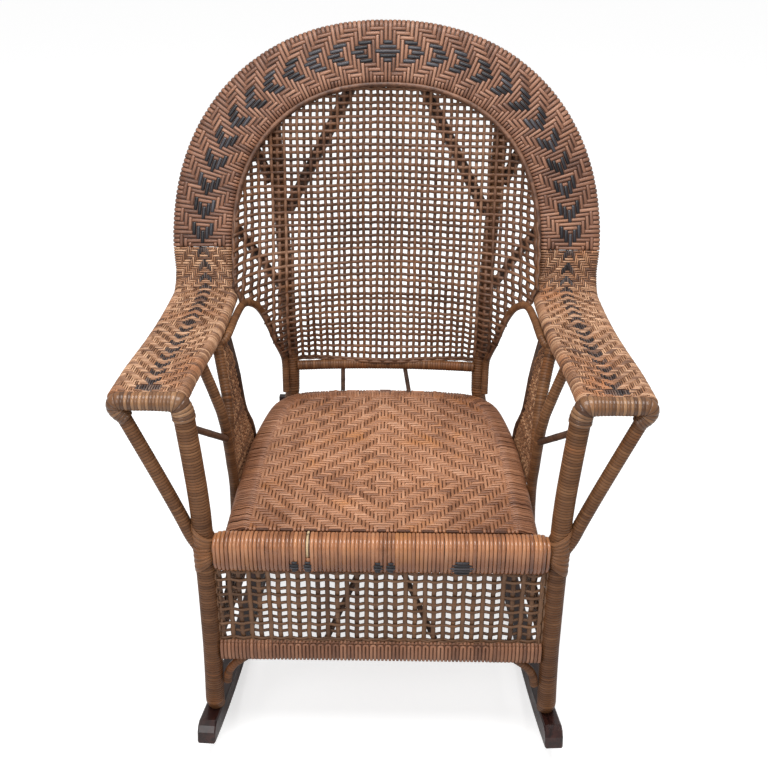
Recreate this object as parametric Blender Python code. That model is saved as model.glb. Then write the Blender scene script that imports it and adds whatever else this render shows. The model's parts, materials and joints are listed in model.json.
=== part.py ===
"""Cane rocking chair: rattan poles wrapped in cane, woven bands, open cane
panels, a woven seat and two dark wooden runners.

Metres. +X is the sitter's left as seen from the front of the chair (right in
a front view), +Y points to the back, +Z is up, and z = 0 is the floor under
the runners, below the middle of the chair. The chair is symmetric about x = 0
but for two spindles and the seat's rear cross rail. The sizes below are
measured from the front posts' side of the frame, and the finished chair is
moved along y as one.
"""

import math

import bpy
import bmesh
from mathutils import Matrix, Vector

# Clearances
GAP = 0.0003            # between pieces that touch
NET_CLEARANCE = 0.0006  # between a net's free ends and the poles beside it
MIN_END_STEP = 0.0005   # from a pole's cut end to its next ring

# Height of the seat, and half the spread of the arms, which the rest goes by
SEAT_HOOP_HEIGHT = 0.3825
BAND_HALF_SPREAD = 0.3066
FRONT_POST_INSET = 0.0526
REAR_POST_INSET = 0.1376
SEAT_INSET = 0.0418
RUNNER_INSET = 0.0045
FRONT_POST_HALF_SPREAD = BAND_HALF_SPREAD - FRONT_POST_INSET
REAR_POST_HALF_SPREAD = BAND_HALF_SPREAD - REAR_POST_INSET
SEAT_HALF_WIDTH = FRONT_POST_HALF_SPREAD - SEAT_INSET
RUNNER_REST_HALF_SPREAD = FRONT_POST_HALF_SPREAD - RUNNER_INSET

# Runners
RUNNER_RADIUS = 1.25
RUNNER_WIDTH = 0.028
RUNNER_HEIGHT = 0.032
RUNNER_FACET_DEG = 2.4
RUNNER_REST_Y = 0.044
RUNNER_FRONT_REACH = 0.331
RUNNER_REAR_REACH = 0.418
RUNNER_TOE_DEG = 3.2
RUNNER_EDGE_ROUND = 0.0020
RUNNER_TIP_ROUND = 0.014
FOOT_PAD_HALF_LENGTH = 0.021

# Screws that hold the legs to the runners
SCREW_SHANK_RADIUS = 0.0023
SCREW_HEAD_RADIUS = 0.0048
SCREW_HEAD_HEIGHT = 0.0035
SCREW_HEAD_RECESS = 0.0035
SCREW_GRIP_IN_LEG = 0.030
SCREW_CLEARANCE = 0.0004

# Front posts
FRONT_POST_RADIUS = 0.0150
FRONT_POST_Y = -0.236
FRONT_POST_TOP_SPLAY = 0.0115
FRONT_FOOT_INSET = 0.003

# Rear posts, each one leg and back stile in one bent pole
REAR_POST_RADIUS = 0.0125
REAR_POST_Y = 0.2245
REAR_FOOT_Y = 0.262

# Woven band over the arms and round the back
BAND_WIDTH = 0.1030
ARM_WIDTH = 0.1085
BAND_THICKNESS = 0.025
BAND_SKIN = 0.0030
ARM_BOW = ((0.0, 0.0052), (0.25, 0.0020), (0.42, -0.0037), (0.61, -0.0073), (0.83, -0.0085), (1.0, -0.0075))
ARM_FRONT_Y = -0.238
ARM_ABOVE_SEAT = 0.2365
ARM_FALL = 0.0090
ARM_FRONT_HEIGHT = SEAT_HOOP_HEIGHT + ARM_ABOVE_SEAT
ARM_REAR_HEIGHT = ARM_FRONT_HEIGHT - ARM_FALL
ARM_BAR_RADIUS = 0.013
BEND_RADIUS = 0.050
BEND_START_Y = 0.143
RIM_LEAN_DEG = 18.8
RIM_ABOVE_ARM = 0.070
RIM_CENTRE_HEIGHT = ARM_REAR_HEIGHT + RIM_ABOVE_ARM
RIM_RISE = 0.3135
RIM_SQUARENESS = 2.22
RIM_STATIONS = 26
BEND_STATIONS = 5
BEAD_RADIUS = 0.0026
BEAD_LIFT_DEG = 35.0
BEAD_CLOSENESS = 0.955   # the band's coarse edge lies this far in where the bead runs
ARM_POLE_OFFSET = (ARM_WIDTH - BAND_THICKNESS) / 2.0

# Seat
SEAT_HOOP_RADIUS = 0.011
SEAT_HOOP_RISE = 0.0055
SEAT_REAR_Y = 0.2187
SEAT_WEAVE = 0.005
SEAT_LIP_DEG = 38.0
SEAT_CORNER_LIP = 0.4
SEAT_DISH = 0.010
ROLL_OVERHANG = 0.0150
SEAT_FRONT_POINTS = 7
SEAT_RING_SHARES = (0.86, 0.66, 0.40, 0.16)
FRONT_RAIL_RADIUS = 0.014
FRONT_RAIL_LIFT = 0.0020
FRONT_RAIL_HEIGHT = SEAT_HOOP_HEIGHT + FRONT_RAIL_LIFT
ROLL_REAR_REACH = 0.0150
APRON_RAIL_RADIUS = 0.009
APRON_RAIL_SETBACK = 0.0045
APRON_RAIL_HEIGHT = FRONT_RAIL_HEIGHT - FRONT_RAIL_RADIUS - APRON_RAIL_RADIUS - GAP
ROLL_DROP = 0.0325
REAR_CROSS_RAIL_SECTION = (0.012, 0.016)
REAR_CROSS_RAIL_LEFT_REACH = REAR_POST_HALF_SPREAD + 0.028
REAR_CROSS_RAIL_RIGHT_REACH = REAR_POST_HALF_SPREAD + 0.009
REAR_CROSS_RAIL_DROP = 0.0205
REAR_CROSS_RAIL_HEIGHT = SEAT_HOOP_HEIGHT - REAR_CROSS_RAIL_DROP

# Lower frame
LOWER_RAIL_HEIGHT = 0.1955
LOWER_RAIL_Y = -0.2385
LOWER_RAIL_DEPTH = 0.037
LOWER_RAIL_THICKNESS = 0.022
SIDE_RAIL_RADIUS = 0.011
SIDE_RAIL_REAR_HEIGHT = 0.180
REAR_RAIL_RADIUS = 0.010
REAR_RAIL_HEIGHT = 0.206
BRACKET_RADIUS = 0.0065
BRACKET_REACH = 0.050
BRACKET_RISE = 0.004
APRON_BRACE_RADIUS = 0.0045
APRON_BRACE_TOP_SPREAD = 0.020
APRON_BRACE_FOOT_SPREAD = 0.080

# Arm supports
MID_POST_RADIUS = 0.008
MID_POST_Y = -0.088
BRANCH_RADIUS = 0.0072
BRANCH_ABOVE_SEAT = 0.0725
OUTER_BRACE_RADIUS = 0.0098
OUTER_BRACE_FOOT_DROP = 0.0265
OUTER_BRACE_FOOT_HEIGHT = SEAT_HOOP_HEIGHT - OUTER_BRACE_FOOT_DROP
OUTER_BRACE_SAG = 0.002
SMALL_BRACE_RADIUS = 0.004
SMALL_BRACE_DROP = 0.039
SMALL_BRACE_FALL = 0.100
SMALL_BRACE_POST_HEIGHT = ARM_FRONT_HEIGHT - SMALL_BRACE_DROP
SMALL_BRACE_FOOT_HEIGHT = SMALL_BRACE_POST_HEIGHT - SMALL_BRACE_FALL
EDGE_STICK_RADIUS = 0.005

# Back
BACK_RAIL_RADIUS = 0.0088
BACK_RAIL_LIFT = 0.0620
BACK_RAIL_HEIGHT = SEAT_HOOP_HEIGHT + BACK_RAIL_LIFT
BACK_RAIL_Y = 0.232
BACK_RAIL_BOW = 0.010
BACK_PANEL_LEAN = 0.12
BACK_EDGE_RADIUS = 0.0055
SPINDLE_RADIUS = 0.0038
SPINDLE_LEFT_X = -0.077
SPINDLE_RIGHT_TOP_X = 0.035
SPINDLE_RIGHT_FOOT_X = 0.043
FAN_BRACE_RADIUS = 0.0065
SIDE_FAN_RADIUS = 0.0050

# Open cane panels, drawn with a coarse mesh of flat strands
NET_THICKNESS = 0.004
NET_STRAND = 0.009
BACK_NET_PITCH = 0.0385
APRON_NET_PITCH = 0.0385
SIDE_APRON_PITCH = 0.046
SIDE_PANEL_PITCH = 0.034

POST_SIDES = 12
THICK_SIDES = 8
THIN_SIDES = 6
BAND_END_STEPS = 4
ROUND_OVER_FLATS = 1.02  # keeps a coarse curve clear of the pole it goes round
POLE_RADIUS = (BAND_THICKNESS / 2.0 - BAND_SKIN) * math.cos(math.pi / 2.0 / BAND_END_STEPS) - GAP

# Distance from a pole's axis to the middle of its flats, as a share of its radius
POST_FLAT = math.cos(math.pi / POST_SIDES)
THICK_FLAT = math.cos(math.pi / THICK_SIDES)
THIN_FLAT = math.cos(math.pi / THIN_SIDES)

SIDES = (("right", 1), ("left", -1))


def clear_scene():
    for old in list(bpy.data.objects):
        bpy.data.objects.remove(old, do_unlink=True)


def make_material(name, colour, roughness):
    material = bpy.data.materials.new(name)
    material.use_nodes = True
    shader = material.node_tree.nodes["Principled BSDF"]
    shader.inputs["Base Color"].default_value = (*colour, 1.0)
    shader.inputs["Roughness"].default_value = roughness
    return material


def finish_object(name, bm, material, parent):
    """Turn a bmesh into a named object that hangs from the chair's empty."""
    bmesh.ops.recalc_face_normals(bm, faces=bm.faces)
    mesh = bpy.data.meshes.new(name)
    bm.to_mesh(mesh)
    bm.free()
    mesh.shade_smooth()
    mesh.set_sharp_from_angle(angle=math.radians(50.0))
    mesh.materials.append(material)
    piece = bpy.data.objects.new(name, mesh)
    bpy.context.scene.collection.objects.link(piece)
    piece.parent = parent
    return piece


def loft(name, rings, material, parent):
    """Skin a list of equal rings of points and cap both ends."""
    bm = bmesh.new()
    loops = [[bm.verts.new(point) for point in ring] for ring in rings]
    count = len(rings[0])
    for near, far in zip(loops, loops[1:]):
        for i in range(count):
            j = (i + 1) % count
            bm.faces.new((near[i], near[j], far[j], far[i]))
    bm.faces.new(loops[0])
    bm.faces.new(loops[-1])
    return finish_object(name, bm, material, parent)


def sleeve(name, outer_rings, inner_rings, material, parent):
    """Skin an open-ended sleeve from its outer and inner rings."""
    bm = bmesh.new()
    outer = [[bm.verts.new(point) for point in ring] for ring in outer_rings]
    inner = [[bm.verts.new(point) for point in ring] for ring in inner_rings]
    count = len(outer[0])
    for loops in (outer, inner):
        for near, far in zip(loops, loops[1:]):
            for i in range(count):
                j = (i + 1) % count
                bm.faces.new((near[i], near[j], far[j], far[i]))
    for end in (0, -1):
        for i in range(count):
            j = (i + 1) % count
            bm.faces.new((outer[end][i], outer[end][j], inner[end][j], inner[end][i]))
    return finish_object(name, bm, material, parent)


def smooth_path(points, steps):
    """A Catmull-Rom curve through the points, with steps to each span."""
    knots = [Vector(p) for p in points]
    first = knots[0] * 2.0 - knots[1]
    last = knots[-1] * 2.0 - knots[-2]
    knots = [first] + knots + [last]
    path = []
    for i in range(1, len(knots) - 2):
        a, b, c, d = knots[i - 1:i + 3]
        for step in range(steps):
            t = step / steps
            path.append(0.5 * (2.0 * b + (c - a) * t
                               + (2.0 * a - 5.0 * b + 4.0 * c - d) * t ** 2
                               + (3.0 * b - a - 3.0 * c + d) * t ** 3))
    path.append(knots[-2].copy())
    return path


def tangents(path):
    result = []
    for i in range(len(path)):
        before = path[max(i - 1, 0)]
        after = path[min(i + 1, len(path) - 1)]
        result.append((after - before).normalized())
    return result


def turning_frames(path):
    """Two cross directions at each point that follow the path without twist."""
    along = tangents(path)
    start = Vector((0.0, 0.0, 1.0))
    if abs(along[0].dot(start)) > 0.9:
        start = Vector((0.0, 1.0, 0.0))
    side = (start - along[0] * start.dot(along[0])).normalized()
    frames = []
    for direction in along:
        side = (side - direction * side.dot(direction)).normalized()
        frames.append((side.copy(), direction.cross(side)))
    return frames


def slide_to_plane(point, direction, plane):
    origin, normal = plane
    return point + direction * ((origin - point).dot(normal) / direction.dot(normal))


def tube_rings(path, radius, sides, start_plane=None, end_plane=None):
    along = tangents(path)
    rings = []
    for centre, (side, other) in zip(path, turning_frames(path)):
        ring = []
        for k in range(sides):
            angle = 2.0 * math.pi * (k + 0.5) / sides
            ring.append(centre + (side * math.cos(angle) + other * math.sin(angle)) * radius)
        rings.append(ring)
    if start_plane:
        rings[0] = [slide_to_plane(p, along[0], start_plane) for p in rings[0]]
    if end_plane:
        rings[-1] = [slide_to_plane(p, along[-1], end_plane) for p in rings[-1]]
    return rings


def tube(name, path, radius, sides, material, parent, start_plane=None, end_plane=None):
    rings = tube_rings(path, radius, sides, start_plane, end_plane)
    return loft(name, rings, material, parent)


def nearest_on(path, point):
    """The nearest place on a path, and the path's direction there."""
    best = None
    for a, b in zip(path, path[1:]):
        span = b - a
        t = max(0.0, min(1.0, (point - a).dot(span) / span.length_squared))
        place = a + span * t
        distance = (point - place).length
        if best is None or distance < best[0]:
            best = (distance, place, span.normalized())
    return best[1], best[2]


def seat_plane(target, target_radius, path):
    """The plane on another pole's side where a stick's line comes out of it."""
    for a, b in zip(path, path[1:]):
        for step in range(1, 9):
            point = a.lerp(b, step / 8.0)
            place, along = nearest_on(target, point)
            out = point - place
            if out.length >= target_radius + GAP:
                normal = (out - along * out.dot(along)).normalized()
                return place + normal * (target_radius + GAP), normal
    raise ValueError("the stick stays inside the pole")


def mirrored(points, side):
    return [Vector((p[0] * side, p[1], p[2])) for p in points]


def trim_start(path, plane, radius):
    """Start a pole's line on a plane, and drop the points whose ring would
    reach behind it."""
    origin, normal = plane
    along = tangents(path)
    cut = 0
    while True:
        slope = along[cut].dot(normal)
        behind = radius * math.sqrt(max(0.0, 1.0 - slope * slope)) + MIN_END_STEP
        if (path[cut] - origin).dot(normal) > behind:
            break
        cut += 1
    before = path[cut - 1] if cut else path[0] * 2.0 - path[1]
    direction = (path[cut] - before).normalized()
    return [slide_to_plane(path[cut], direction, plane)] + path[cut:]


def clearance(points, path):
    """The least distance from any of the points to a path."""
    return min((point - nearest_on(path, point)[0]).length for point in points)


def stick_between(name, points, radius, sides, steps, start, end, material, parent):
    """A pole whose ends are cut to sit on two other poles.

    start and end are (path, radius) of the pole there, a ready plane given
    as (point, normal, "plane"), or None for a free end.
    """
    line = smooth_path(points, steps)
    planes = []
    for target, inward in ((start, line), (end, line[::-1])):
        if target is None:
            planes.append(None)
        elif len(target) == 3:
            planes.append((target[0], target[1]))
        else:
            planes.append(seat_plane(target[0], target[1], inward))
    for _ in range(6):
        path = line
        if planes[0]:
            path = trim_start(path, planes[0], radius)
        if planes[1]:
            path = trim_start(path[::-1], planes[1], radius)[::-1]
        rings = tube_rings(path, radius, sides, planes[0], planes[1])
        moved = False
        for k, target, ring in ((0, start, rings[0]), (1, end, rings[-1])):
            if target is None or len(target) == 3:
                continue
            short = target[1] + GAP - clearance(ring, target[0])
            if short > 0.00002:
                origin, normal = planes[k]
                planes[k] = (origin + normal * short, normal)
                moved = True
        if not moved:
            break
    piece = loft(name, rings, material, parent)
    return piece, path


def cut_with(piece, cutter):
    cutter.hide_render = True
    cutter.display_type = "WIRE"
    cut = piece.modifiers.new("cut " + cutter.name, "BOOLEAN")
    cut.operation = "DIFFERENCE"
    cut.object = cutter


def interpolate(table, value):
    """Read y at x = value from a list of (x, y) sorted by x."""
    if value <= table[0][0]:
        return table[0][1]
    for (x0, y0), (x1, y1) in zip(table, table[1:]):
        if value <= x1:
            return y0 + (y1 - y0) * (value - x0) / (x1 - x0)
    return table[-1][1]


# The line of the arms and the rim

def rim_up():
    lean = math.radians(RIM_LEAN_DEG)
    return Vector((0.0, math.sin(lean), math.cos(lean)))


def rim_plane_origin():
    """The middle of the rim's arch, on the line where the bend ends."""
    lean = math.radians(RIM_LEAN_DEG)
    turn = math.pi / 2.0 - lean
    end_y = BEND_START_Y + BEND_RADIUS * math.sin(turn)
    end_z = ARM_REAR_HEIGHT + BEND_RADIUS * (1.0 - math.cos(turn))
    rise = (RIM_CENTRE_HEIGHT - end_z) / math.cos(lean)
    return Vector((0.0, end_y + rise * math.sin(lean), RIM_CENTRE_HEIGHT))


def rim_point(angle):
    power = 2.0 / RIM_SQUARENESS
    across = BAND_HALF_SPREAD * math.cos(angle) ** power
    rise = RIM_RISE * math.sin(angle) ** power
    return rim_plane_origin() + Vector((across, 0.0, 0.0)) + rim_up() * rise


def evenly_spaced(points, count):
    lengths = [0.0]
    for a, b in zip(points, points[1:]):
        lengths.append(lengths[-1] + (b - a).length)
    result = []
    index = 0
    for k in range(count + 1):
        goal = lengths[-1] * k / count
        while index < len(points) - 2 and lengths[index + 1] < goal:
            index += 1
        share = (goal - lengths[index]) / (lengths[index + 1] - lengths[index])
        result.append(points[index].lerp(points[index + 1], share))
    return result


def arm_share(y):
    """How far along the arm this y lies, from 0 at the front to 1 at the bend."""
    start = ARM_FRONT_Y + ARM_BAR_RADIUS + GAP
    return (y - start) / (BEND_START_Y - start)


def arm_spread(y):
    """The x of the arm's middle line at this y, on the right."""
    return BAND_HALF_SPREAD + interpolate(ARM_BOW, arm_share(y))


def arm_height(y):
    """The height of the arm's middle line at this y."""
    return ARM_FRONT_HEIGHT + (ARM_REAR_HEIGHT - ARM_FRONT_HEIGHT) * arm_share(y)


def band_stations():
    """Stations from the right arm's front, over the rim, to the left arm's
    front: each one a centre, the direction across the band, outwards, and the
    band's width there."""
    across = Vector((1.0, 0.0, 0.0))
    arm_start = ARM_FRONT_Y + ARM_BAR_RADIUS + GAP
    right_arm = []
    for share in (0.0, 0.2, 0.4, 0.6, 0.8):
        y = arm_start + (BEND_START_Y - arm_start) * share
        z = ARM_FRONT_HEIGHT + (ARM_REAR_HEIGHT - ARM_FRONT_HEIGHT) * share
        right_arm.append((Vector((arm_spread(y), y, z)), across, ARM_WIDTH))
    bend = []
    turn = math.pi / 2.0 - math.radians(RIM_LEAN_DEG)
    for k in range(BEND_STATIONS + 1):
        angle = turn * k / BEND_STATIONS
        y = BEND_START_Y + BEND_RADIUS * math.sin(angle)
        z = ARM_REAR_HEIGHT + BEND_RADIUS * (1.0 - math.cos(angle))
        x = BAND_HALF_SPREAD + ARM_BOW[-1][1] * (1.0 - 0.6 * k / BEND_STATIONS)
        wide = ARM_WIDTH + (BAND_WIDTH - ARM_WIDTH) * k / BEND_STATIONS
        bend.append((Vector((x, y, z)), across, wide))
    fine = [rim_point(math.pi / 2.0 * k / 180.0) for k in range(181)]
    half = evenly_spaced(fine, RIM_STATIONS // 2)
    arch = half + [Vector((-p.x, p.y, p.z)) for p in half[-2::-1]]
    along = tangents(arch)
    along[0] = rim_up()
    along[-1] = -rim_up()
    forward = across.cross(rim_up())
    rim = [(p, t.cross(forward).normalized(), BAND_WIDTH) for p, t in zip(arch, along)]
    right = right_arm + bend
    left = [(Vector((-p.x, p.y, p.z)), -w, wide) for p, w, wide in right[::-1]]
    return right, rim, left


def stadium(width, thickness, steps):
    """A flattened ring, as (across, through) pairs."""
    radius = thickness / 2.0
    reach = width / 2.0 - radius
    ring = []
    for sign in (1.0, -1.0):
        for k in range(steps + 1):
            angle = -math.pi / 2.0 + math.pi * k / steps
            ring.append((sign * (reach + radius * math.cos(angle)), sign * radius * math.sin(angle)))
    return ring


def band_frames(stations):
    """Add the direction through the band: (centre, across, through, width)."""
    centres = [p for p, _, _ in stations]
    result = []
    for (centre, across, wide), along in zip(stations, tangents(centres)):
        through = across.cross(along).normalized()
        result.append((centre, across, through, wide))
    return result


def band_rings(frames, inset):
    """The band's cross-section at each station, drawn in by the inset."""
    rings = []
    for centre, across, through, wide in frames:
        shape = stadium(wide - 2.0 * inset, BAND_THICKNESS - 2.0 * inset, BAND_END_STEPS)
        rings.append([centre + across * a + through * b for a, b in shape])
    return rings


def pole_in_band_rings(frames, sign, radius, sides):
    """Rings of a pole inside one edge of the band, each in its station's plane."""
    rings = []
    for centre, across, through, wide in frames:
        offset = sign * (wide - BAND_THICKNESS) / 2.0
        ring = []
        for k in range(sides):
            angle = 2.0 * math.pi * k / sides
            out = across * (offset + radius * math.cos(angle)) + through * (radius * math.sin(angle))
            ring.append(centre + out)
        rings.append(ring)
    return rings


# Runners

def runner_outline():
    """The runner's side view about its rest point, as (along, up) pairs."""
    step = math.radians(RUNNER_FACET_DEG)
    low_radius = RUNNER_RADIUS / math.cos(step / 2.0)
    high_radius = RUNNER_RADIUS - RUNNER_HEIGHT

    def on_arc(radius, angle):
        return (radius * math.sin(angle), RUNNER_RADIUS - radius * math.cos(angle))

    front_angle = -math.asin(RUNNER_FRONT_REACH / RUNNER_RADIUS)
    rear_angle = math.asin(RUNNER_REAR_REACH / RUNNER_RADIUS)
    low = [on_arc(RUNNER_RADIUS, front_angle)]
    index = math.ceil(front_angle / step - 0.5)
    while (index + 0.5) * step < rear_angle:
        corner = (index + 0.5) * step
        if corner - front_angle > step / 4.0 and rear_angle - corner > step / 4.0:
            low.append(on_arc(low_radius, corner))
        index += 1
    low.append(on_arc(RUNNER_RADIUS, rear_angle))
    tip = RUNNER_TIP_ROUND / RUNNER_RADIUS
    high = [on_arc(high_radius + RUNNER_TIP_ROUND, rear_angle)]
    high.append(on_arc(high_radius + RUNNER_TIP_ROUND * 0.35, rear_angle - tip * 0.35))
    high.append(on_arc(high_radius, rear_angle - tip))
    pad = FOOT_PAD_HALF_LENGTH / high_radius
    corners = [rear_angle - tip]
    for foot_y in (REAR_FOOT_Y, FRONT_POST_Y):
        middle = foot_angle(foot_y)
        corners += [middle + pad, middle - pad]
    corners.append(front_angle + tip)
    for from_angle, to_angle in zip(corners, corners[1:]):
        is_pad = abs(abs(from_angle - to_angle) - 2.0 * pad) < 1e-6
        pieces = 1 if is_pad else max(1, round((from_angle - to_angle) / step))
        for k in range(1, pieces + 1):
            angle = from_angle + (to_angle - from_angle) * k / pieces
            high.append(on_arc(high_radius, angle))
    high.append(on_arc(high_radius + RUNNER_TIP_ROUND * 0.35, front_angle + tip * 0.35))
    high.append(on_arc(high_radius + RUNNER_TIP_ROUND, front_angle))
    return low + high


def foot_angle(foot_y):
    """The angle round the runner's arc at which a leg stands."""
    along = (foot_y - RUNNER_REST_Y) / math.cos(math.radians(RUNNER_TOE_DEG))
    return math.asin(along / RUNNER_RADIUS)


def runner_place(side):
    """The transform from the runner's own frame to the chair's."""
    turn = Matrix.Rotation(math.radians(RUNNER_TOE_DEG) * side, 4, "Z")
    place = Matrix.Translation((RUNNER_REST_HALF_SPREAD * side, RUNNER_REST_Y, 0.0))
    return place @ turn


def foot_seat(foot_y, side):
    """The middle of the flat pad under a leg, and the pad's upward normal."""
    angle = foot_angle(foot_y)
    high_radius = RUNNER_RADIUS - RUNNER_HEIGHT
    pad = FOOT_PAD_HALF_LENGTH / high_radius
    radius = high_radius * math.cos(pad)
    local = Vector((0.0, radius * math.sin(angle), RUNNER_RADIUS - radius * math.cos(angle)))
    normal = Vector((0.0, -math.sin(angle), math.cos(angle)))
    place = runner_place(side)
    return place @ local, (place.to_3x3() @ normal).normalized()


def make_runner(label, side, material, parent):
    outline = runner_outline()
    place = runner_place(side)
    bm = bmesh.new()
    half = RUNNER_WIDTH / 2.0
    near = [bm.verts.new((-half, along, up)) for along, up in outline]
    face = bm.faces.new(near)
    made = bmesh.ops.extrude_face_region(bm, geom=[face])
    moved = [v for v in made["geom"] if isinstance(v, bmesh.types.BMVert)]
    bmesh.ops.translate(bm, verts=moved, vec=(RUNNER_WIDTH, 0.0, 0.0))
    bmesh.ops.recalc_face_normals(bm, faces=bm.faces)
    rims = [e for e in bm.edges if abs(e.verts[0].co.x - e.verts[1].co.x) < 1e-6]
    bmesh.ops.bevel(bm, geom=rims, offset=RUNNER_EDGE_ROUND, segments=1, affect="EDGES")
    bmesh.ops.transform(bm, matrix=place, verts=bm.verts)
    return finish_object("runner_" + label, bm, material, parent)


def cone_stack(name, levels, sides, frame, material, parent):
    """A turned piece from (height, radius) levels along the frame's z."""
    rings = []
    for height, radius in levels:
        ring = []
        for k in range(sides):
            angle = 2.0 * math.pi * k / sides
            ring.append(frame @ Vector((radius * math.cos(angle), radius * math.sin(angle), height)))
        rings.append(ring)
    return loft(name, rings, material, parent)


def make_foot_screw(name, foot_y, side, runner, post, material, parent):
    """A countersunk screw up through the runner into the leg, and its bores."""
    seat, normal = foot_seat(foot_y, side)
    turn = normal.to_track_quat("Z", "X").to_matrix().to_4x4()
    frame = Matrix.Translation(seat) @ turn
    low = -RUNNER_HEIGHT + SCREW_HEAD_RECESS
    neck = low + SCREW_HEAD_HEIGHT
    levels = [(low, SCREW_HEAD_RADIUS), (neck, SCREW_SHANK_RADIUS), (SCREW_GRIP_IN_LEG, SCREW_SHANK_RADIUS)]
    screw = cone_stack(name, levels, 8, frame, material, parent)
    wide = SCREW_CLEARANCE
    outside = -RUNNER_HEIGHT - 0.006
    bore = [(outside, SCREW_HEAD_RADIUS + wide), (low + wide, SCREW_HEAD_RADIUS + wide),
            (neck + wide, SCREW_SHANK_RADIUS + wide),
            (SCREW_GRIP_IN_LEG + wide, SCREW_SHANK_RADIUS + wide)]
    cutter = cone_stack(name + "_bore", bore, 8, frame, material, parent)
    cut_with(runner, cutter)
    cut_with(post, cutter)
    return screw


# Open cane panels

def net(name, columns, rows, strand, limits, surface, material, parent):
    """A net of crossing strands, cut off at an outline.

    limits holds four functions: the lowest and highest v at a given u, and
    the lowest and highest u at a given v. surface turns (u, v) into a point.
    """
    low_v, high_v, low_u, high_u = limits
    half = strand / 2.0
    bm = bmesh.new()

    def spot(u, v):
        return (round(u, 6), round(v, 6))

    def corners_inside(u, v):
        count = 0
        for cu in (u - half, u + half):
            for cv in (v - half, v + half):
                beside = low_u(cv) + half < cu < high_u(cv) - half
                if beside and low_v(cu) + half < cv < high_v(cu) - half:
                    count += 1
        return count

    state = {(i, j): corners_inside(u, v) for i, u in enumerate(columns) for j, v in enumerate(rows)}
    crossings = {key for key, count in state.items() if count == 4}
    patches = []
    for i, j in sorted(crossings):
        u, v = columns[i], rows[j]
        patches.append([spot(u - half, v - half), spot(u + half, v - half),
                        spot(u + half, v + half), spot(u - half, v + half)])
        if (i + 1, j) in crossings:
            far = columns[i + 1]
            patches.append([spot(u + half, v - half), spot(far - half, v - half),
                            spot(far - half, v + half), spot(u + half, v + half)])
        elif state.get((i + 1, j), 0) == 0:
            patches.append([spot(u + half, v - half), spot(high_u(v - half), v - half),
                            spot(high_u(v + half), v + half), spot(u + half, v + half)])
        if (i - 1, j) not in crossings and state.get((i - 1, j), 0) == 0:
            patches.append([spot(low_u(v - half), v - half), spot(u - half, v - half),
                            spot(u - half, v + half), spot(low_u(v + half), v + half)])
        if (i, j + 1) in crossings:
            far = rows[j + 1]
            patches.append([spot(u - half, v + half), spot(u + half, v + half),
                            spot(u + half, far - half), spot(u - half, far - half)])
        else:
            patches.append([spot(u - half, v + half), spot(u + half, v + half),
                            spot(u + half, high_v(u + half)), spot(u - half, high_v(u - half))])
        if (i, j - 1) not in crossings:
            patches.append([spot(u - half, low_v(u - half)), spot(u + half, low_v(u + half)),
                            spot(u + half, v - half), spot(u - half, v - half)])
    tiny = 1e-4
    front = {}
    back = {}
    for key in {corner for patch in patches for corner in patch}:
        u, v = key
        point = surface(u, v)
        du = surface(u + tiny, v) - surface(u - tiny, v)
        dv = surface(u, v + tiny) - surface(u, v - tiny)
        normal = du.cross(dv).normalized() * (NET_THICKNESS / 2.0)
        front[key] = bm.verts.new(point + normal)
        back[key] = bm.verts.new(point - normal)
    edges = {}
    for patch in patches:
        bm.faces.new([front[key] for key in patch])
        bm.faces.new([back[key] for key in reversed(patch)])
        for a, b in zip(patch, patch[1:] + patch[:1]):
            edges.setdefault(frozenset((a, b)), []).append((a, b))
    for uses in edges.values():
        if len(uses) == 1:
            a, b = uses[0]
            bm.faces.new((front[b], front[a], back[a], back[b]))
    return finish_object(name, bm, material, parent)


def even_lines(middle, pitch, low, high):
    """Line positions at a pitch either side of the middle, within limits."""
    reach = int((high - low) / pitch) + 2
    lines = [middle + pitch * k for k in range(-reach, reach + 1)]
    return [line for line in lines if low < line < high]


# Paths that more than one piece follows

def front_post_path(side, foot_plane, top_height):
    foot = foot_plane[0]
    spread = FRONT_POST_HALF_SPREAD
    flare = FRONT_POST_TOP_SPLAY
    knee = FRONT_RAIL_HEIGHT + (top_height - FRONT_RAIL_HEIGHT) * 0.42
    points = [(abs(foot.x) - FRONT_FOOT_INSET, foot.y, foot.z),
              (spread + 0.0010, FRONT_POST_Y, LOWER_RAIL_HEIGHT),
              (spread, FRONT_POST_Y, FRONT_RAIL_HEIGHT),
              (spread + flare * 0.16, FRONT_POST_Y, knee),
              (spread + flare, FRONT_POST_Y, top_height)]
    return smooth_path(mirrored(points, side), 2)


def off_rim_plane(z, distance):
    """The y at height z of a point that lies this far behind the rim."""
    lean = math.radians(RIM_LEAN_DEG)
    origin = rim_plane_origin()
    return origin.y + (distance + (z - origin.z) * math.sin(lean)) / math.cos(lean)


def rear_post_path(side, foot_plane):
    foot = foot_plane[0]
    x = REAR_POST_HALF_SPREAD
    y = REAR_POST_Y
    seat = SEAT_HOOP_HEIGHT
    rim = RIM_CENTRE_HEIGHT
    behind = BAND_THICKNESS / 2.0 + REAR_POST_RADIUS + GAP
    nearing = rim + 0.170
    top = rim + 0.250
    points = [(abs(foot.x), foot.y, foot.z),
              (x + 0.052, y + 0.0230, seat - 0.2125),
              (x + 0.021, y + 0.0070, seat - 0.0825),
              (x, y, seat + 0.0125),
              (x + 0.0015, y + 0.0095, seat + 0.0875),
              (x + 0.0055, y + 0.0190, rim - 0.110),
              (x + 0.0105, y + 0.0325, rim + 0.010),
              (x + 0.0165, y + 0.0485, rim + 0.105),
              (x + 0.0215, off_rim_plane(nearing, behind + 0.001), nearing),
              (x + 0.0285, off_rim_plane(top, behind), top)]
    return smooth_path(mirrored(points, side), 2)


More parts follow.
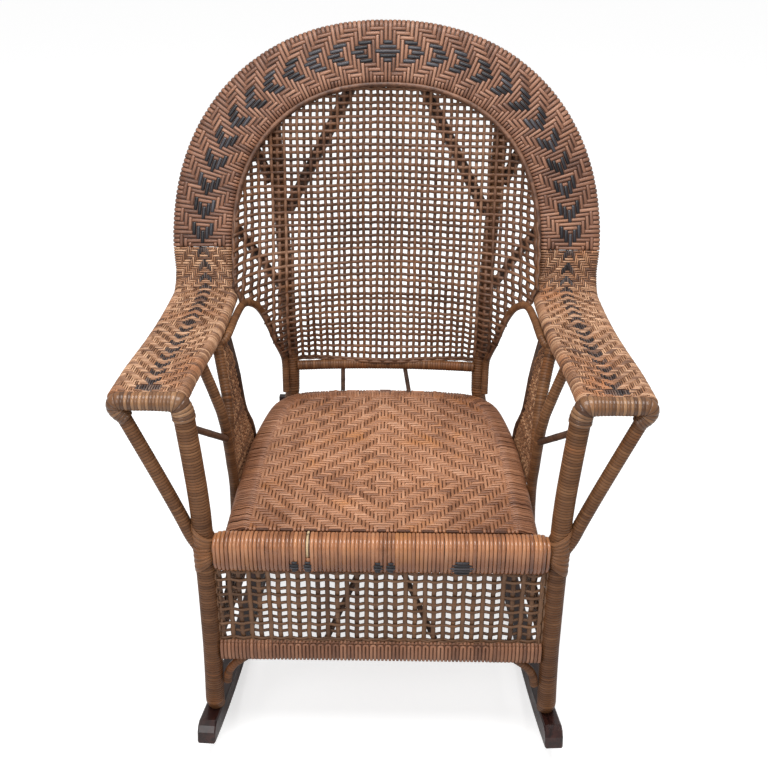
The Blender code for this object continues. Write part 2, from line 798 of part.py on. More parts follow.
def at_height(path, z):
    """The point of a path at height z."""
    for a, b in zip(path, path[1:]):
        if min(a.z, b.z) <= z <= max(a.z, b.z) and abs(a.z - b.z) > 1e-9:
            return a.lerp(b, (z - a.z) / (b.z - a.z))
    return min(path, key=lambda p: abs(p.z - z)).copy()


def at_y(path, y):
    """The point of a path at this y."""
    for a, b in zip(path, path[1:]):
        if min(a.y, b.y) <= y <= max(a.y, b.y) and abs(a.y - b.y) > 1e-9:
            return a.lerp(b, (y - a.y) / (b.y - a.y))
    return min(path, key=lambda p: abs(p.y - y)).copy()


def seat_height(y):
    """The height of the seat hoop's line, which rises to the front."""
    share = (SEAT_REAR_Y - y) / (SEAT_REAR_Y - FRONT_POST_Y)
    return SEAT_HOOP_HEIGHT + SEAT_HOOP_RISE * share


def seat_half_line():
    """The right half of the seat hoop, from the front to the back's middle."""
    w = SEAT_HALF_WIDTH
    y = SEAT_REAR_Y
    plan = [(w + 0.0010, FRONT_POST_Y + 0.0090), (w + 0.0005, FRONT_POST_Y + 0.0500), (w, -0.115),
            (w - 0.0010, -0.040), (w - 0.0035, 0.020), (w - 0.0090, y - 0.1430), (w - 0.0220, y - 0.0640),
            (w - 0.0390, y - 0.0320), (w - 0.0600, y - 0.0155), (w - 0.1040, y - 0.0058), (0.0, y)]
    return [Vector((px, py, seat_height(py))) for px, py in plan]


def make_band(cane_weave, rattan, chair):
    """The woven band, the two poles inside it and the bead on its inner edge."""
    right, rim, left = band_stations()
    frames = band_frames(right + rim + left)
    bend_end = len(right) - 1
    rim_end = len(frames) - len(left)
    parts = (("arm_band_right", 0, bend_end), ("back_rim_band", bend_end, rim_end),
             ("arm_band_left", rim_end, len(frames) - 1))
    for name, first, last in parts:
        piece = [list(f) for f in frames[first:last + 1]]
        for end, step in ((0, 1), (-1, -2)):
            inwards = (piece[step][0] - piece[end][0]).normalized()
            piece[end][0] = piece[end][0] + inwards * (GAP / 2.0)
        sleeve(name, band_rings(piece, 0.0), band_rings(piece, BAND_SKIN), cane_weave, chair)
    for name, sign in (("outer_rim_pole", 1.0), ("inner_rim_pole", -1.0)):
        loft(name, pole_in_band_rings(frames, sign, POLE_RADIUS, THIN_SIDES), rattan, chair)
    lift = math.radians(BEAD_LIFT_DEG)
    reach = BAND_THICKNESS / 2.0 * BEAD_CLOSENESS + BEAD_RADIUS + GAP
    bead_line = []
    for centre, across, through, wide in frames[bend_end:rim_end + 1]:
        offset = (wide - BAND_THICKNESS) / 2.0 + reach * math.cos(lift)
        bead_line.append(centre - across * offset + through * (reach * math.sin(lift)))
    tube("rim_bead", bead_line, BEAD_RADIUS, THIN_SIDES, rattan, chair)
    return frames, bend_end, rim_end


def edge_line(frames, bend_end, rim_end):
    """The right half of the band's inner edge round the rim, bottom to top."""
    rim_frames = frames[bend_end:rim_end + 1]
    half = rim_frames[:len(rim_frames) // 2 + 1]
    line = [c - w * (wide / 2.0 + 2.0 * NET_CLEARANCE) for c, w, _, wide in half]
    return [p for p in line if p.z > ARM_REAR_HEIGHT]


def back_edge_points(rear):
    """The pole from beside the arm's inner edge down to the rear post, on the right."""
    reach = BAND_THICKNESS / 2.0 + BACK_EDGE_RADIUS + 2.0 * GAP
    points = []
    for y, degrees in ((0.055, 28.0), (0.095, 28.0)):
        angle = math.radians(degrees)
        points.append((arm_spread(y) - ARM_POLE_OFFSET - reach * math.cos(angle), y,
                       arm_height(y) - reach * math.sin(angle)))
    x = REAR_POST_HALF_SPREAD
    y = REAR_POST_Y
    arm = ARM_REAR_HEIGHT
    points += [(x + 0.0640, y - 0.0845, arm - 0.0095), (x + 0.0480, y - 0.0565, arm - 0.0275),
               (x + 0.0345, y - 0.0360, arm - 0.0650), (x + 0.0235, y - 0.0210, arm - 0.1090)]
    beside = Vector((0.62, -0.785, 0.0)) * (REAR_POST_RADIUS + BACK_EDGE_RADIUS + 2.0 * GAP)
    for z in (BACK_RAIL_HEIGHT + 0.018, BACK_RAIL_HEIGHT - 0.012):
        post_at = at_height(rear, z)
        points.append((abs(post_at.x) + beside.x, post_at.y + beside.y, z))
    return points


def rail_across(name, height, y, radius, post, material, parent):
    """A straight rail between the two front posts."""
    reach = at_height(post, height).x - FRONT_POST_RADIUS * POST_FLAT - 2.0 * GAP
    path = [Vector((x, y, height)) for x in (-reach, 0.0, reach)]
    return tube(name, path, radius, THICK_SIDES, material, parent)


def seat_level(y):
    """The height of the underside of the seat's woven sheet before it sags."""
    return seat_height(y) + SEAT_HOOP_RADIUS + GAP


def seat_edge(hoop_half):
    """The seat sheet's outline: (point, outward direction, share of the full lip),
    with a share of 0 along the front, where there is no hoop."""
    front_y = FRONT_POST_Y + ROLL_REAR_REACH + GAP
    half = smooth_path(hoop_half, 2)
    half = [at_y(half, front_y)] + [p for p in half if p.y > front_y + 0.010]
    outline = half + [Vector((-p.x, p.y, p.z)) for p in half[-2::-1]]
    edge = []
    for k, (point, along) in enumerate(zip(outline, tangents(outline))):
        lip = SEAT_CORNER_LIP if k in (0, len(outline) - 1) else 1.0
        edge.append((point, Vector((along.y, -along.x, 0.0)).normalized(), lip))
    corner = half[0].x - SEAT_HOOP_RADIUS / 2.0
    for k in range(SEAT_FRONT_POINTS):
        x = -corner + 2.0 * corner * k / (SEAT_FRONT_POINTS - 1)
        edge.append((Vector((x, front_y, 0.0)), Vector((0.0, 0.0, 0.0)), 0.0))
    return edge


def seat_sheet(edge, thickness):
    """Rings of the seat's upper or lower skin from the lip to the middle."""
    middle = Vector((0.0, (edge[-1][0].y + SEAT_REAR_Y) / 2.0, 0.0))
    loops = []
    reach = (SEAT_HOOP_RADIUS + GAP + thickness) * ROUND_OVER_FLATS
    for share in (1.0, 0.5, 0.0):
        ring = []
        for point, out, lip in edge:
            angle = math.radians(SEAT_LIP_DEG * share * lip)
            place = point + out * (reach * math.sin(angle))
            place.z = point.z + reach * math.cos(angle) if lip else seat_level(point.y) + thickness
            ring.append(place)
        loops.append(ring)
    for share in SEAT_RING_SHARES:
        ring = []
        for point, _, _ in edge:
            place = middle + (point - middle) * share
            place.z = seat_level(place.y) + thickness - SEAT_DISH * (1.0 - share ** 2)
            ring.append(place)
        loops.append(ring)
    hub = middle.copy()
    hub.z = seat_level(middle.y) + thickness - SEAT_DISH
    return loops, hub


def make_seat_panel(hoop_half, weave, chair):
    edge = seat_edge(hoop_half)
    count = len(edge)
    bm = bmesh.new()
    rims = []
    for thickness in (SEAT_WEAVE, 0.0):
        loops, hub = seat_sheet(edge, thickness)
        kept = []
        for k, ring in enumerate(loops):
            made = []
            for (_, _, lip), place in zip(edge, ring):
                if k in (1, 2) and not lip:
                    made.append(kept[0][len(made)])
                else:
                    made.append(bm.verts.new(place))
            kept.append(made)
        centre = bm.verts.new(hub)
        for near, far in zip(kept, kept[1:]):
            for i in range(count):
                j = (i + 1) % count
                corners = []
                for vert in (near[i], near[j], far[j], far[i]):
                    if vert not in corners:
                        corners.append(vert)
                if len(corners) > 2:
                    bm.faces.new(corners)
        for i in range(count):
            bm.faces.new((kept[-1][i], kept[-1][(i + 1) % count], centre))
        rims.append(kept[0])
    for i in range(count):
        j = (i + 1) % count
        bm.faces.new((rims[0][i], rims[0][j], rims[1][j], rims[1][i]))
    return finish_object("seat_panel", bm, weave, chair)


def make_front_roll(weave, chair):
    """The wrapped roll over the front rail, open behind and below."""
    inner = (FRONT_RAIL_RADIUS + GAP) * ROUND_OVER_FLATS
    outer = inner + SEAT_WEAVE
    ring = []
    for reach, order in ((outer, 1), (inner, -1)):
        line = [(ROLL_REAR_REACH, reach)]
        for k in range(6):
            angle = math.pi / 2.0 * k / 5.0
            line.append((-reach * math.sin(angle), reach * math.cos(angle)))
        line.append((-reach, -ROLL_DROP))
        ring += line[::order]
    half = SEAT_HALF_WIDTH + ROLL_OVERHANG
    section = [(FRONT_POST_Y + y, FRONT_RAIL_HEIGHT + z) for y, z in ring]
    rings = [[Vector((x, y, z)) for y, z in section] for x in (-half, half)]
    return loft("seat_front_roll", rings, weave, chair)


def make_seat(hoop_path, hoop_half, kept, weave, rattan, dark_wood, chair):
    """The bent hoop, the front rail, the woven sheet and the wrapped roll."""
    front = kept["front", 1.0]
    behind = Vector((0.0, FRONT_POST_Y + FRONT_RAIL_RADIUS + GAP, 0.0))
    behind_rail = (behind, Vector((0.0, 1.0, 0.0)), "plane")
    stick_between("seat_hoop", hoop_path, SEAT_HOOP_RADIUS, THICK_SIDES, 2, behind_rail, behind_rail,
                  rattan, chair)
    rail_across("front_seat_rail", FRONT_RAIL_HEIGHT, FRONT_POST_Y, FRONT_RAIL_RADIUS, front,
                rattan, chair)
    rail_across("apron_top_rail", APRON_RAIL_HEIGHT, FRONT_POST_Y - APRON_RAIL_SETBACK, APRON_RAIL_RADIUS,
                front, rattan, chair)
    make_front_roll(weave, chair)
    make_seat_panel(hoop_half, weave, chair)

    # Dark wooden rail behind the rear posts, whose left end shows
    deep, tall = REAR_CROSS_RAIL_SECTION
    low = REAR_CROSS_RAIL_HEIGHT - tall / 2.0
    near = at_height(kept["rear", 1.0], low).y + REAR_POST_RADIUS * POST_FLAT + 2.0 * GAP
    section = ((near, low), (near + deep, low), (near + deep, low + tall), (near, low + tall))
    ends = (-REAR_CROSS_RAIL_LEFT_REACH, REAR_CROSS_RAIL_RIGHT_REACH)
    rings = [[Vector((x, y, z)) for y, z in section] for x in ends]
    loft("rear_cross_rail", rings, dark_wood, chair)


def make_lower_rails(kept, cane, chair):
    """The flat front rail low between the front posts, and the rear one."""
    post = kept["front", 1.0]
    heights = [LOWER_RAIL_HEIGHT + LOWER_RAIL_DEPTH / 2.0 * k for k in (-1.0, 0.0, 1.0)]
    reach = min(at_height(post, z).x for z in heights) - FRONT_POST_RADIUS * POST_FLAT - GAP
    shape = stadium(LOWER_RAIL_DEPTH, LOWER_RAIL_THICKNESS, 6)
    rings = [[Vector((x, LOWER_RAIL_Y + b, LOWER_RAIL_HEIGHT + a)) for a, b in shape]
             for x in (-reach, reach)]
    loft("lower_rail_front", rings, cane, chair)
    ends = [at_height(kept["rear", side], REAR_RAIL_HEIGHT) for _, side in SIDES]
    stick_between("lower_rail_rear", ends, REAR_RAIL_RADIUS, THICK_SIDES, 2,
                  (kept["rear", 1.0], REAR_POST_RADIUS), (kept["rear", -1.0], REAR_POST_RADIUS), cane, chair)


def make_back(kept, edge, cane, weave, rattan, chair):
    """The rail under the back panel, its two spindles and the open panel."""
    reach = at_height(kept["rear", 1.0], BACK_RAIL_HEIGHT).x

    def rail_y(x):
        return BACK_RAIL_Y - BACK_RAIL_BOW * (x / reach) ** 2

    shares = (-1.0, -0.66, -0.33, 0.0, 0.33, 0.66, 1.0)
    points = [(share * reach, rail_y(share * reach), BACK_RAIL_HEIGHT) for share in shares]
    end = reach - REAR_POST_RADIUS - GAP
    left_end = (Vector((-end, 0.0, 0.0)), Vector((1.0, 0.0, 0.0)), "plane")
    right_end = (Vector((end, 0.0, 0.0)), Vector((-1.0, 0.0, 0.0)), "plane")
    stick_between("back_bottom_rail", points, BACK_RAIL_RADIUS, THICK_SIDES, 2, left_end, right_end,
                  cane, chair)

    # Spindles between the seat's rear edge and the rail
    for name, top_x, foot_x in (("back_spindle_left", SPINDLE_LEFT_X, SPINDLE_LEFT_X),
                                ("back_spindle_right", SPINDLE_RIGHT_TOP_X, SPINDLE_RIGHT_FOOT_X)):
        top_z = BACK_RAIL_HEIGHT - BACK_RAIL_RADIUS - GAP
        low_z = seat_height(SEAT_REAR_Y) + SEAT_HOOP_RADIUS + SEAT_WEAVE + 3.0 * GAP
        points = [(foot_x, SEAT_REAR_Y - 0.0015, low_z - 0.003), (top_x, rail_y(top_x), top_z + 0.003)]
        low_plane = (Vector((0.0, 0.0, low_z)), Vector((0.0, 0.0, 1.0)), "plane")
        top_plane = (Vector((0.0, 0.0, top_z)), Vector((0.0, 0.0, -1.0)), "plane")
        stick_between(name, points, SPINDLE_RADIUS, THIN_SIDES, 2, low_plane, top_plane, rattan, chair)

    # Outline of the open panel: up the edge pole, then round the band
    pole = kept["back_edge", 1.0][::-1]
    outline = []
    for point, along in zip(pole, tangents(pole)):
        inward = Vector((-along.z, 0.0, along.x)).normalized()
        if inward.x > 0.0:
            inward = -inward
        outline.append(point + inward * (BACK_EDGE_RADIUS + NET_CLEARANCE + NET_THICKNESS / 3.0))
    low_v = BACK_RAIL_HEIGHT + BACK_RAIL_RADIUS + GAP
    outline = [p for p in outline if low_v < p.z < ARM_REAR_HEIGHT - 0.050]
    outline += edge
    sides = sorted((p.z, p.x) for p in outline)
    depths = sorted((p.z, p.y) for p in outline)
    widest = max(range(len(outline)), key=lambda i: outline[i].x)
    upper = sorted((p.x, p.z) for p in outline[widest:])
    lower = sorted((p.x, p.z) for p in outline[:widest + 1])

    def half_width(z):
        return interpolate(sides, z)

    def surface(x, z):
        middle = BACK_RAIL_Y + (z - low_v) * BACK_PANEL_LEAN
        wide = max(half_width(z), 0.02)
        return Vector((x, middle + (interpolate(depths, z) - middle) * min(1.0, (x / wide) ** 2), z))

    def panel_low(x):
        if abs(x) <= lower[0][0]:
            return low_v
        return max(low_v, interpolate(lower, abs(x)))

    limits = (panel_low, lambda x: interpolate(upper, abs(x)), lambda z: -half_width(z), half_width)
    columns = even_lines(0.0, BACK_NET_PITCH, -BAND_HALF_SPREAD, BAND_HALF_SPREAD)
    rows = even_lines(low_v + BACK_NET_PITCH * 0.7, BACK_NET_PITCH, low_v, edge[-1].z)
    net("back_panel", columns, rows, NET_STRAND, limits, surface, weave, chair)


def make_side_nets(kept, hoop_path, weave, chair):
    """The front apron, the side aprons and the panels under the arms."""
    apron_y = FRONT_POST_Y - APRON_RAIL_SETBACK
    top = APRON_RAIL_HEIGHT - APRON_RAIL_RADIUS * math.cos(math.pi / THICK_SIDES) - GAP
    low = LOWER_RAIL_HEIGHT + LOWER_RAIL_DEPTH / 2.0 + GAP
    post = kept["front", 1.0]

    def apron_half(z):
        return at_height(post, z).x - FRONT_POST_RADIUS - GAP

    limits = (lambda u: low, lambda u: top, lambda v: -apron_half(v), apron_half)
    columns = even_lines(APRON_NET_PITCH / 2.0, APRON_NET_PITCH, -BAND_HALF_SPREAD, BAND_HALF_SPREAD)
    rows = even_lines((low + top) / 2.0, (top - low) / 4.0, low, top)
    net("front_apron_panel", columns, rows, NET_STRAND, limits,
        lambda u, v: Vector((u, apron_y, v)), weave, chair)

    for label, side in SIDES:
        rail = kept["side_rail", side]
        rear = kept["rear", side]
        front = kept["front", side]
        mid = kept["mid", side]
        half_hoop = [p for p in hoop_path if p.x * side > 0.0]

        def rail_top(y):
            return at_y(rail, y).z + SIDE_RAIL_RADIUS + GAP

        def hoop_low(y):
            return at_y(half_hoop, y).z - SEAT_HOOP_RADIUS * THICK_FLAT - 2.0 * GAP

        def side_surface(y, z, rail=rail, half_hoop=half_hoop, side=side):
            foot = abs(at_y(rail, y).x) - 0.0085
            head = abs(at_y(half_hoop, min(y, 0.19)).x)
            share = (z - LOWER_RAIL_HEIGHT) / (SEAT_HOOP_HEIGHT - LOWER_RAIL_HEIGHT)
            return Vector(((foot + (head - foot) * share) * side, y, z))

        limits = (rail_top, hoop_low,
                  lambda z: FRONT_POST_Y + FRONT_POST_RADIUS + NET_CLEARANCE,
                  lambda z: at_height(rear, z).y - REAR_POST_RADIUS - NET_CLEARANCE)
        columns = even_lines(0.0, SIDE_APRON_PITCH, -0.3, 0.3)
        low_row = LOWER_RAIL_HEIGHT + SIDE_RAIL_RADIUS
        rows = even_lines((low_row + SEAT_HOOP_HEIGHT) / 2.0, SIDE_APRON_PITCH, low_row, SEAT_HOOP_HEIGHT)
        net("side_apron_" + label, columns, rows, NET_STRAND, limits, side_surface, weave, chair)

        # Panel under the arm, between the branched post and the thin stick
        branch = kept["branch", side]
        stick = kept["stick", side]
        branch_low = branch[0].z - 0.016

        def front_edge(z):
            on_mid = at_height(mid, z).y + MID_POST_RADIUS + NET_CLEARANCE
            if z < branch_low:
                return on_mid
            return max(on_mid, at_height(branch, z).y + BRANCH_RADIUS * 1.4 + NET_CLEARANCE)

        def rear_edge(z):
            return at_height(stick, z).y - EDGE_STICK_RADIUS * 1.2 - NET_CLEARANCE

        seat = SEAT_HOOP_HEIGHT
        levels = [seat + 0.0175 + 0.005 * k for k in range(41)]
        front_line = sorted((front_edge(z), z) for z in levels)
        rear_line = sorted((rear_edge(z), z) for z in levels)

        def panel_top(y):
            arm = arm_height(y) - BAND_THICKNESS / 2.0 - NET_CLEARANCE
            if y < front_line[-1][0]:
                arm = min(arm, interpolate(front_line, y))
            if y > rear_line[0][0]:
                arm = min(arm, interpolate(rear_line, y))
            return arm

        def panel_surface(y, z, mid=mid, stick=stick):
            near = at_height(mid, z)
            far = at_height(stick, z)
            return Vector((near.x + (far.x - near.x) * (y - near.y) / (far.y - near.y), y, z))

        limits = (lambda y: at_y(half_hoop, y).z - 0.004, panel_top, front_edge, rear_edge)
        columns = even_lines(0.0, SIDE_PANEL_PITCH, -0.3, 0.3)
        rows = even_lines(seat + 0.0425, SIDE_PANEL_PITCH, seat - 0.0125, ARM_REAR_HEIGHT - 0.010)
        net("side_panel_" + label, columns, rows, NET_STRAND, limits, panel_surface, weave, chair)


def centre_over_origin(chair):
    """Move the chair along y until its bounding box is centred over the origin."""
    reach = [v.co.y for piece in chair.children for v in piece.data.vertices]
    chair.location.y = -(min(reach) + max(reach)) / 2.0


def build():
    clear_scene()
    cane = make_material("wrapped cane", (0.32, 0.15, 0.065), 0.55)
    weave = make_material("woven cane", (0.36, 0.18, 0.085), 0.6)
    rattan = make_material("bare rattan", (0.24, 0.11, 0.05), 0.5)
    dark_wood = make_material("dark stained wood", (0.035, 0.012, 0.010), 0.3)
    steel = make_material("screw steel", (0.30, 0.29, 0.28), 0.4)
    chair = bpy.data.objects.new("rocking_chair", None)
    bpy.context.scene.collection.objects.link(chair)

    frames, bend_end, rim_end = make_band(weave, rattan, chair)
    edge = edge_line(frames, bend_end, rim_end)
    band_under = BAND_THICKNESS / 2.0
    hoop_half = seat_half_line()
    hoop_path = hoop_half + [Vector((-p.x, p.y, p.z)) for p in hoop_half[-2::-1]]
    bar_low = ARM_FRONT_HEIGHT - band_under
    bar_height = bar_low + ARM_BAR_RADIUS * math.cos(math.pi / THICK_SIDES)
    kept = {}

    for label, side in SIDES:
        runner = make_runner(label, side, dark_wood, chair)
        front_foot = foot_seat(FRONT_POST_Y, side)
        rear_foot = foot_seat(REAR_FOOT_Y, side)

        # Front post, from the runner to the bar across the arm's front
        path = front_post_path(side, front_foot, bar_low - GAP)
        foot_plane = (front_foot[0] + front_foot[1] * GAP, front_foot[1])
        top_plane = (Vector((0.0, 0.0, bar_low - GAP)), Vector((0.0, 0.0, 1.0)))
        front_post = tube("front_post_" + label, path, FRONT_POST_RADIUS, POST_SIDES, cane, chair,
                          foot_plane, top_plane)
        kept["front", side] = path

        # Rear post, one pole from the runner to behind the rim
        path = rear_post_path(side, rear_foot)
        foot_plane = (rear_foot[0] + rear_foot[1] * GAP, rear_foot[1])
        rear_post = tube("rear_post_" + label, path, REAR_POST_RADIUS, POST_SIDES, cane, chair, foot_plane)
        kept["rear", side] = path

        make_foot_screw("front_foot_screw_" + label, FRONT_POST_Y, side, runner, front_post, steel, chair)
        make_foot_screw("rear_foot_screw_" + label, REAR_FOOT_Y, side, runner, rear_post, steel, chair)

        # Bar across the arm's front
        inner_end = arm_spread(ARM_FRONT_Y) - ARM_WIDTH / 2.0
        outer_end = arm_spread(ARM_FRONT_Y) + ARM_WIDTH / 2.0
        bar = [Vector((x * side, ARM_FRONT_Y, bar_height))
               for x in (inner_end, inner_end + 0.006, outer_end - 0.006, outer_end)]
        rings = tube_rings(bar, ARM_BAR_RADIUS, THICK_SIDES)
        for k in (0, -1):
            rings[k] = [bar[k] + (p - bar[k]) * 0.72 for p in rings[k]]
        loft("arm_front_bar_" + label, rings, cane, chair)

        # Outer brace, from under the bar's outer end to the front post
        post = kept["front", side]
        foot = at_height(post, OUTER_BRACE_FOOT_HEIGHT)
        top = Vector(((outer_end - 0.015) * side, ARM_FRONT_Y, bar_low + 0.004))
        under_bar = (Vector((0.0, 0.0, bar_low - GAP)), Vector((0.0, 0.0, -1.0)), "plane")
        middle = top.lerp(foot, 0.55) - Vector((OUTER_BRACE_SAG * side, 0.0, 0.0))
        points = [top, middle, foot]
        stick_between("outer_arm_brace_" + label, points, OUTER_BRACE_RADIUS, THICK_SIDES, 3,
                      under_bar, (post, FRONT_POST_RADIUS), cane, chair)

        # Lower side rail, front post to rear post
        front_at = at_height(post, LOWER_RAIL_HEIGHT)
        rear_at = at_height(kept["rear", side], SIDE_RAIL_REAR_HEIGHT)
        _, path = stick_between("lower_rail_" + label, [front_at, rear_at], SIDE_RAIL_RADIUS,
                                THICK_SIDES, 3, (post, FRONT_POST_RADIUS),
                                (kept["rear", side], REAR_POST_RADIUS), cane, chair)
        kept["side_rail", side] = path

        # Mid post, from under the arm past the seat to the lower side rail
        rail_at = at_y(kept["side_rail", side], MID_POST_Y)
        hoop_at = at_y([p for p in hoop_path if p.x * side > 0.0], MID_POST_Y)
        beside = abs(hoop_at.x) + SEAT_HOOP_RADIUS + MID_POST_RADIUS + GAP
        under_arm = (Vector((0.0, 0.0, arm_height(MID_POST_Y) - band_under - GAP)),
                     Vector((0.0, 0.0, -1.0)), "plane")
        top_x = arm_spread(MID_POST_Y) - ARM_POLE_OFFSET
        points = [(top_x, MID_POST_Y - 0.016, under_arm[0].z + 0.004),
                  (beside + 0.0080, MID_POST_Y - 0.018, under_arm[0].z - 0.072),
                  (beside + 0.0030, MID_POST_Y - 0.012, under_arm[0].z - 0.122),
                  (beside + 0.0010, MID_POST_Y - 0.006, under_arm[0].z - 0.172),
                  (beside, MID_POST_Y, hoop_at.z + 0.002),
                  (beside + 0.0035, MID_POST_Y, hoop_at.z - 0.080),
                  (abs(rail_at.x) + 0.002, MID_POST_Y, rail_at.z + SIDE_RAIL_RADIUS)]
        on_rail = (Vector((rail_at.x, rail_at.y, rail_at.z + SIDE_RAIL_RADIUS + GAP)),
                   Vector((0.0, 0.0, 1.0)), "plane")
        _, path = stick_between("mid_arm_post_" + label, mirrored(points, side), MID_POST_RADIUS,
                                THICK_SIDES, 2, under_arm, on_rail, cane, chair)
        kept["mid", side] = path

        # Branch, from the mid post back up to the arm
        join = at_height(path, SEAT_HOOP_HEIGHT + BRANCH_ABOVE_SEAT)
        top_x = arm_spread(0.0) - ARM_POLE_OFFSET
        points = [join, (join.x + 0.006 * side, join.y + 0.042, join.z + 0.070),
                  (top_x * side, join.y + 0.086, arm_height(0.0) - band_under + 0.004)]
        under_here = (Vector((0.0, 0.0, arm_height(0.0) - band_under - GAP)),
                      Vector((0.0, 0.0, -1.0)), "plane")
        _, path = stick_between("arm_post_branch_" + label, points, BRANCH_RADIUS, THICK_SIDES, 3,
                                (path, MID_POST_RADIUS), under_here, cane, chair)
        kept["branch", side] = path

        # Small brace, front post to mid post
        start = at_height(post, SMALL_BRACE_POST_HEIGHT)
        end = at_height(kept["mid", side], SMALL_BRACE_FOOT_HEIGHT)
        stick_between("small_arm_brace_" + label, [start, end], SMALL_BRACE_RADIUS, THIN_SIDES, 3,
                      (post, FRONT_POST_RADIUS), (kept["mid", side], MID_POST_RADIUS), rattan, chair)

        # Thin stick down the rear edge of the side panel
        arm_at = arm_height(0.030) - band_under
        hoop_at = at_y([p for p in hoop_path if p.x * side > 0.0], 0.066)
        beside = abs(hoop_at.x) + SEAT_HOOP_RADIUS + EDGE_STICK_RADIUS * THIN_FLAT + GAP
        points = [(arm_spread(0.030) - ARM_POLE_OFFSET - 0.008, 0.032, arm_at + 0.003),
                  (beside + 0.0150, 0.022, arm_at - 0.064), (beside + 0.0090, 0.033, arm_at - 0.140),
                  (beside + 0.0020, 0.055, hoop_at.z + 0.034), (beside, 0.066, hoop_at.z - 0.014)]
        under_here = (Vector((0.0, 0.0, arm_at - GAP)), Vector((0.0, 0.0, -1.0)), "plane")
        _, path = stick_between("side_panel_stick_" + label, mirrored(points, side), EDGE_STICK_RADIUS,
                                THIN_SIDES, 2, under_here, None, rattan, chair)
        kept["stick", side] = path

        # Curved pole down the side of the back panel
        points = back_edge_points(kept["rear", side])
        _, path = stick_between("back_edge_pole_" + label, mirrored(points, side), BACK_EDGE_RADIUS,
                                THIN_SIDES, 2, None, None, cane, chair)
        kept["back_edge", side] = path

        # Braces that fan out behind the back panel
        rear = kept["rear", side]
        rim_x = BAND_HALF_SPREAD
        fans = (("fan_brace", 0.020, 0.042, 0.275, FAN_BRACE_RADIUS),
                ("upper_side_brace", 0.060, rim_x - 0.0666, 0.180, SIDE_FAN_RADIUS),
                ("lower_side_brace", -0.105, rim_x - 0.0266, 0.055, SIDE_FAN_RADIUS))
        for name, low_rise, top_x, top_rise, radius in fans:
            low = at_height(rear, RIM_CENTRE_HEIGHT + low_rise)
            top_z = RIM_CENTRE_HEIGHT + top_rise
            behind = BAND_THICKNESS / 2.0 + radius + GAP
            top = Vector((top_x * side, off_rim_plane(top_z, behind), top_z))
            stick_between(name + "_" + label, [low, top], radius, THIN_SIDES, 3,
                          (rear, REAR_POST_RADIUS), None, rattan, chair)

        # Bracket under the front rail's end
        rail_low = LOWER_RAIL_HEIGHT - LOWER_RAIL_DEPTH / 2.0
        front_at = at_height(post, rail_low - BRACKET_REACH)
        beside = abs(front_at.x) - FRONT_POST_RADIUS - BRACKET_RADIUS - GAP
        points = []
        for k in range(7):
            angle = math.pi / 2.0 * k / 6.0
            points.append(((beside - BRACKET_REACH + BRACKET_REACH * math.sin(angle)) * side, LOWER_RAIL_Y,
                           rail_low + BRACKET_RISE - BRACKET_REACH + BRACKET_REACH * math.cos(angle)))
        under_rail = (Vector((0.0, 0.0, rail_low - GAP)), Vector((0.0, 0.0, -1.0)), "plane")
        stick_between("corner_bracket_" + label, points, BRACKET_RADIUS, THIN_SIDES, 1,
                      under_rail, None, cane, chair)

        # Slanting brace behind the front apron
        low_z = LOWER_RAIL_HEIGHT + LOWER_RAIL_DEPTH / 2.0
        back_y = FRONT_POST_Y - APRON_RAIL_SETBACK + APRON_RAIL_RADIUS + APRON_BRACE_RADIUS + GAP
        points = [(APRON_BRACE_TOP_SPREAD * side, back_y, APRON_RAIL_HEIGHT + 0.003),
                  (APRON_BRACE_FOOT_SPREAD * side, LOWER_RAIL_Y + 0.0075, low_z)]
        on_rail = (Vector((0.0, 0.0, low_z - GAP)), Vector((0.0, 0.0, 1.0)), "plane")
        stick_between("apron_brace_" + label, points, APRON_BRACE_RADIUS, THIN_SIDES, 2,
                      None, on_rail, rattan, chair)

    make_seat(hoop_path, hoop_half, kept, weave, rattan, dark_wood, chair)
    make_lower_rails(kept, cane, chair)
    make_back(kept, edge, cane, weave, rattan, chair)
    make_side_nets(kept, hoop_path, weave, chair)
    centre_over_origin(chair)


build()
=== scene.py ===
# %% [markdown]
# # Dressing a wound and woven cane rocking chair
# The chair is a frame of rattan poles. Split cane is wound round the poles, and thin round
# reeds are woven over the arms, the rim of the back, the seat and the open panels. This
# lesson loads the measured frame, reads each pole's line from it, and then winds and weaves
# over those lines, so that every strand sits where the frame carries it.

# %% Load the measured frame
import json
import math
import bmesh
import bpy
import numpy as np
from mathutils import Matrix, Vector
from mathutils.bvhtree import BVHTree

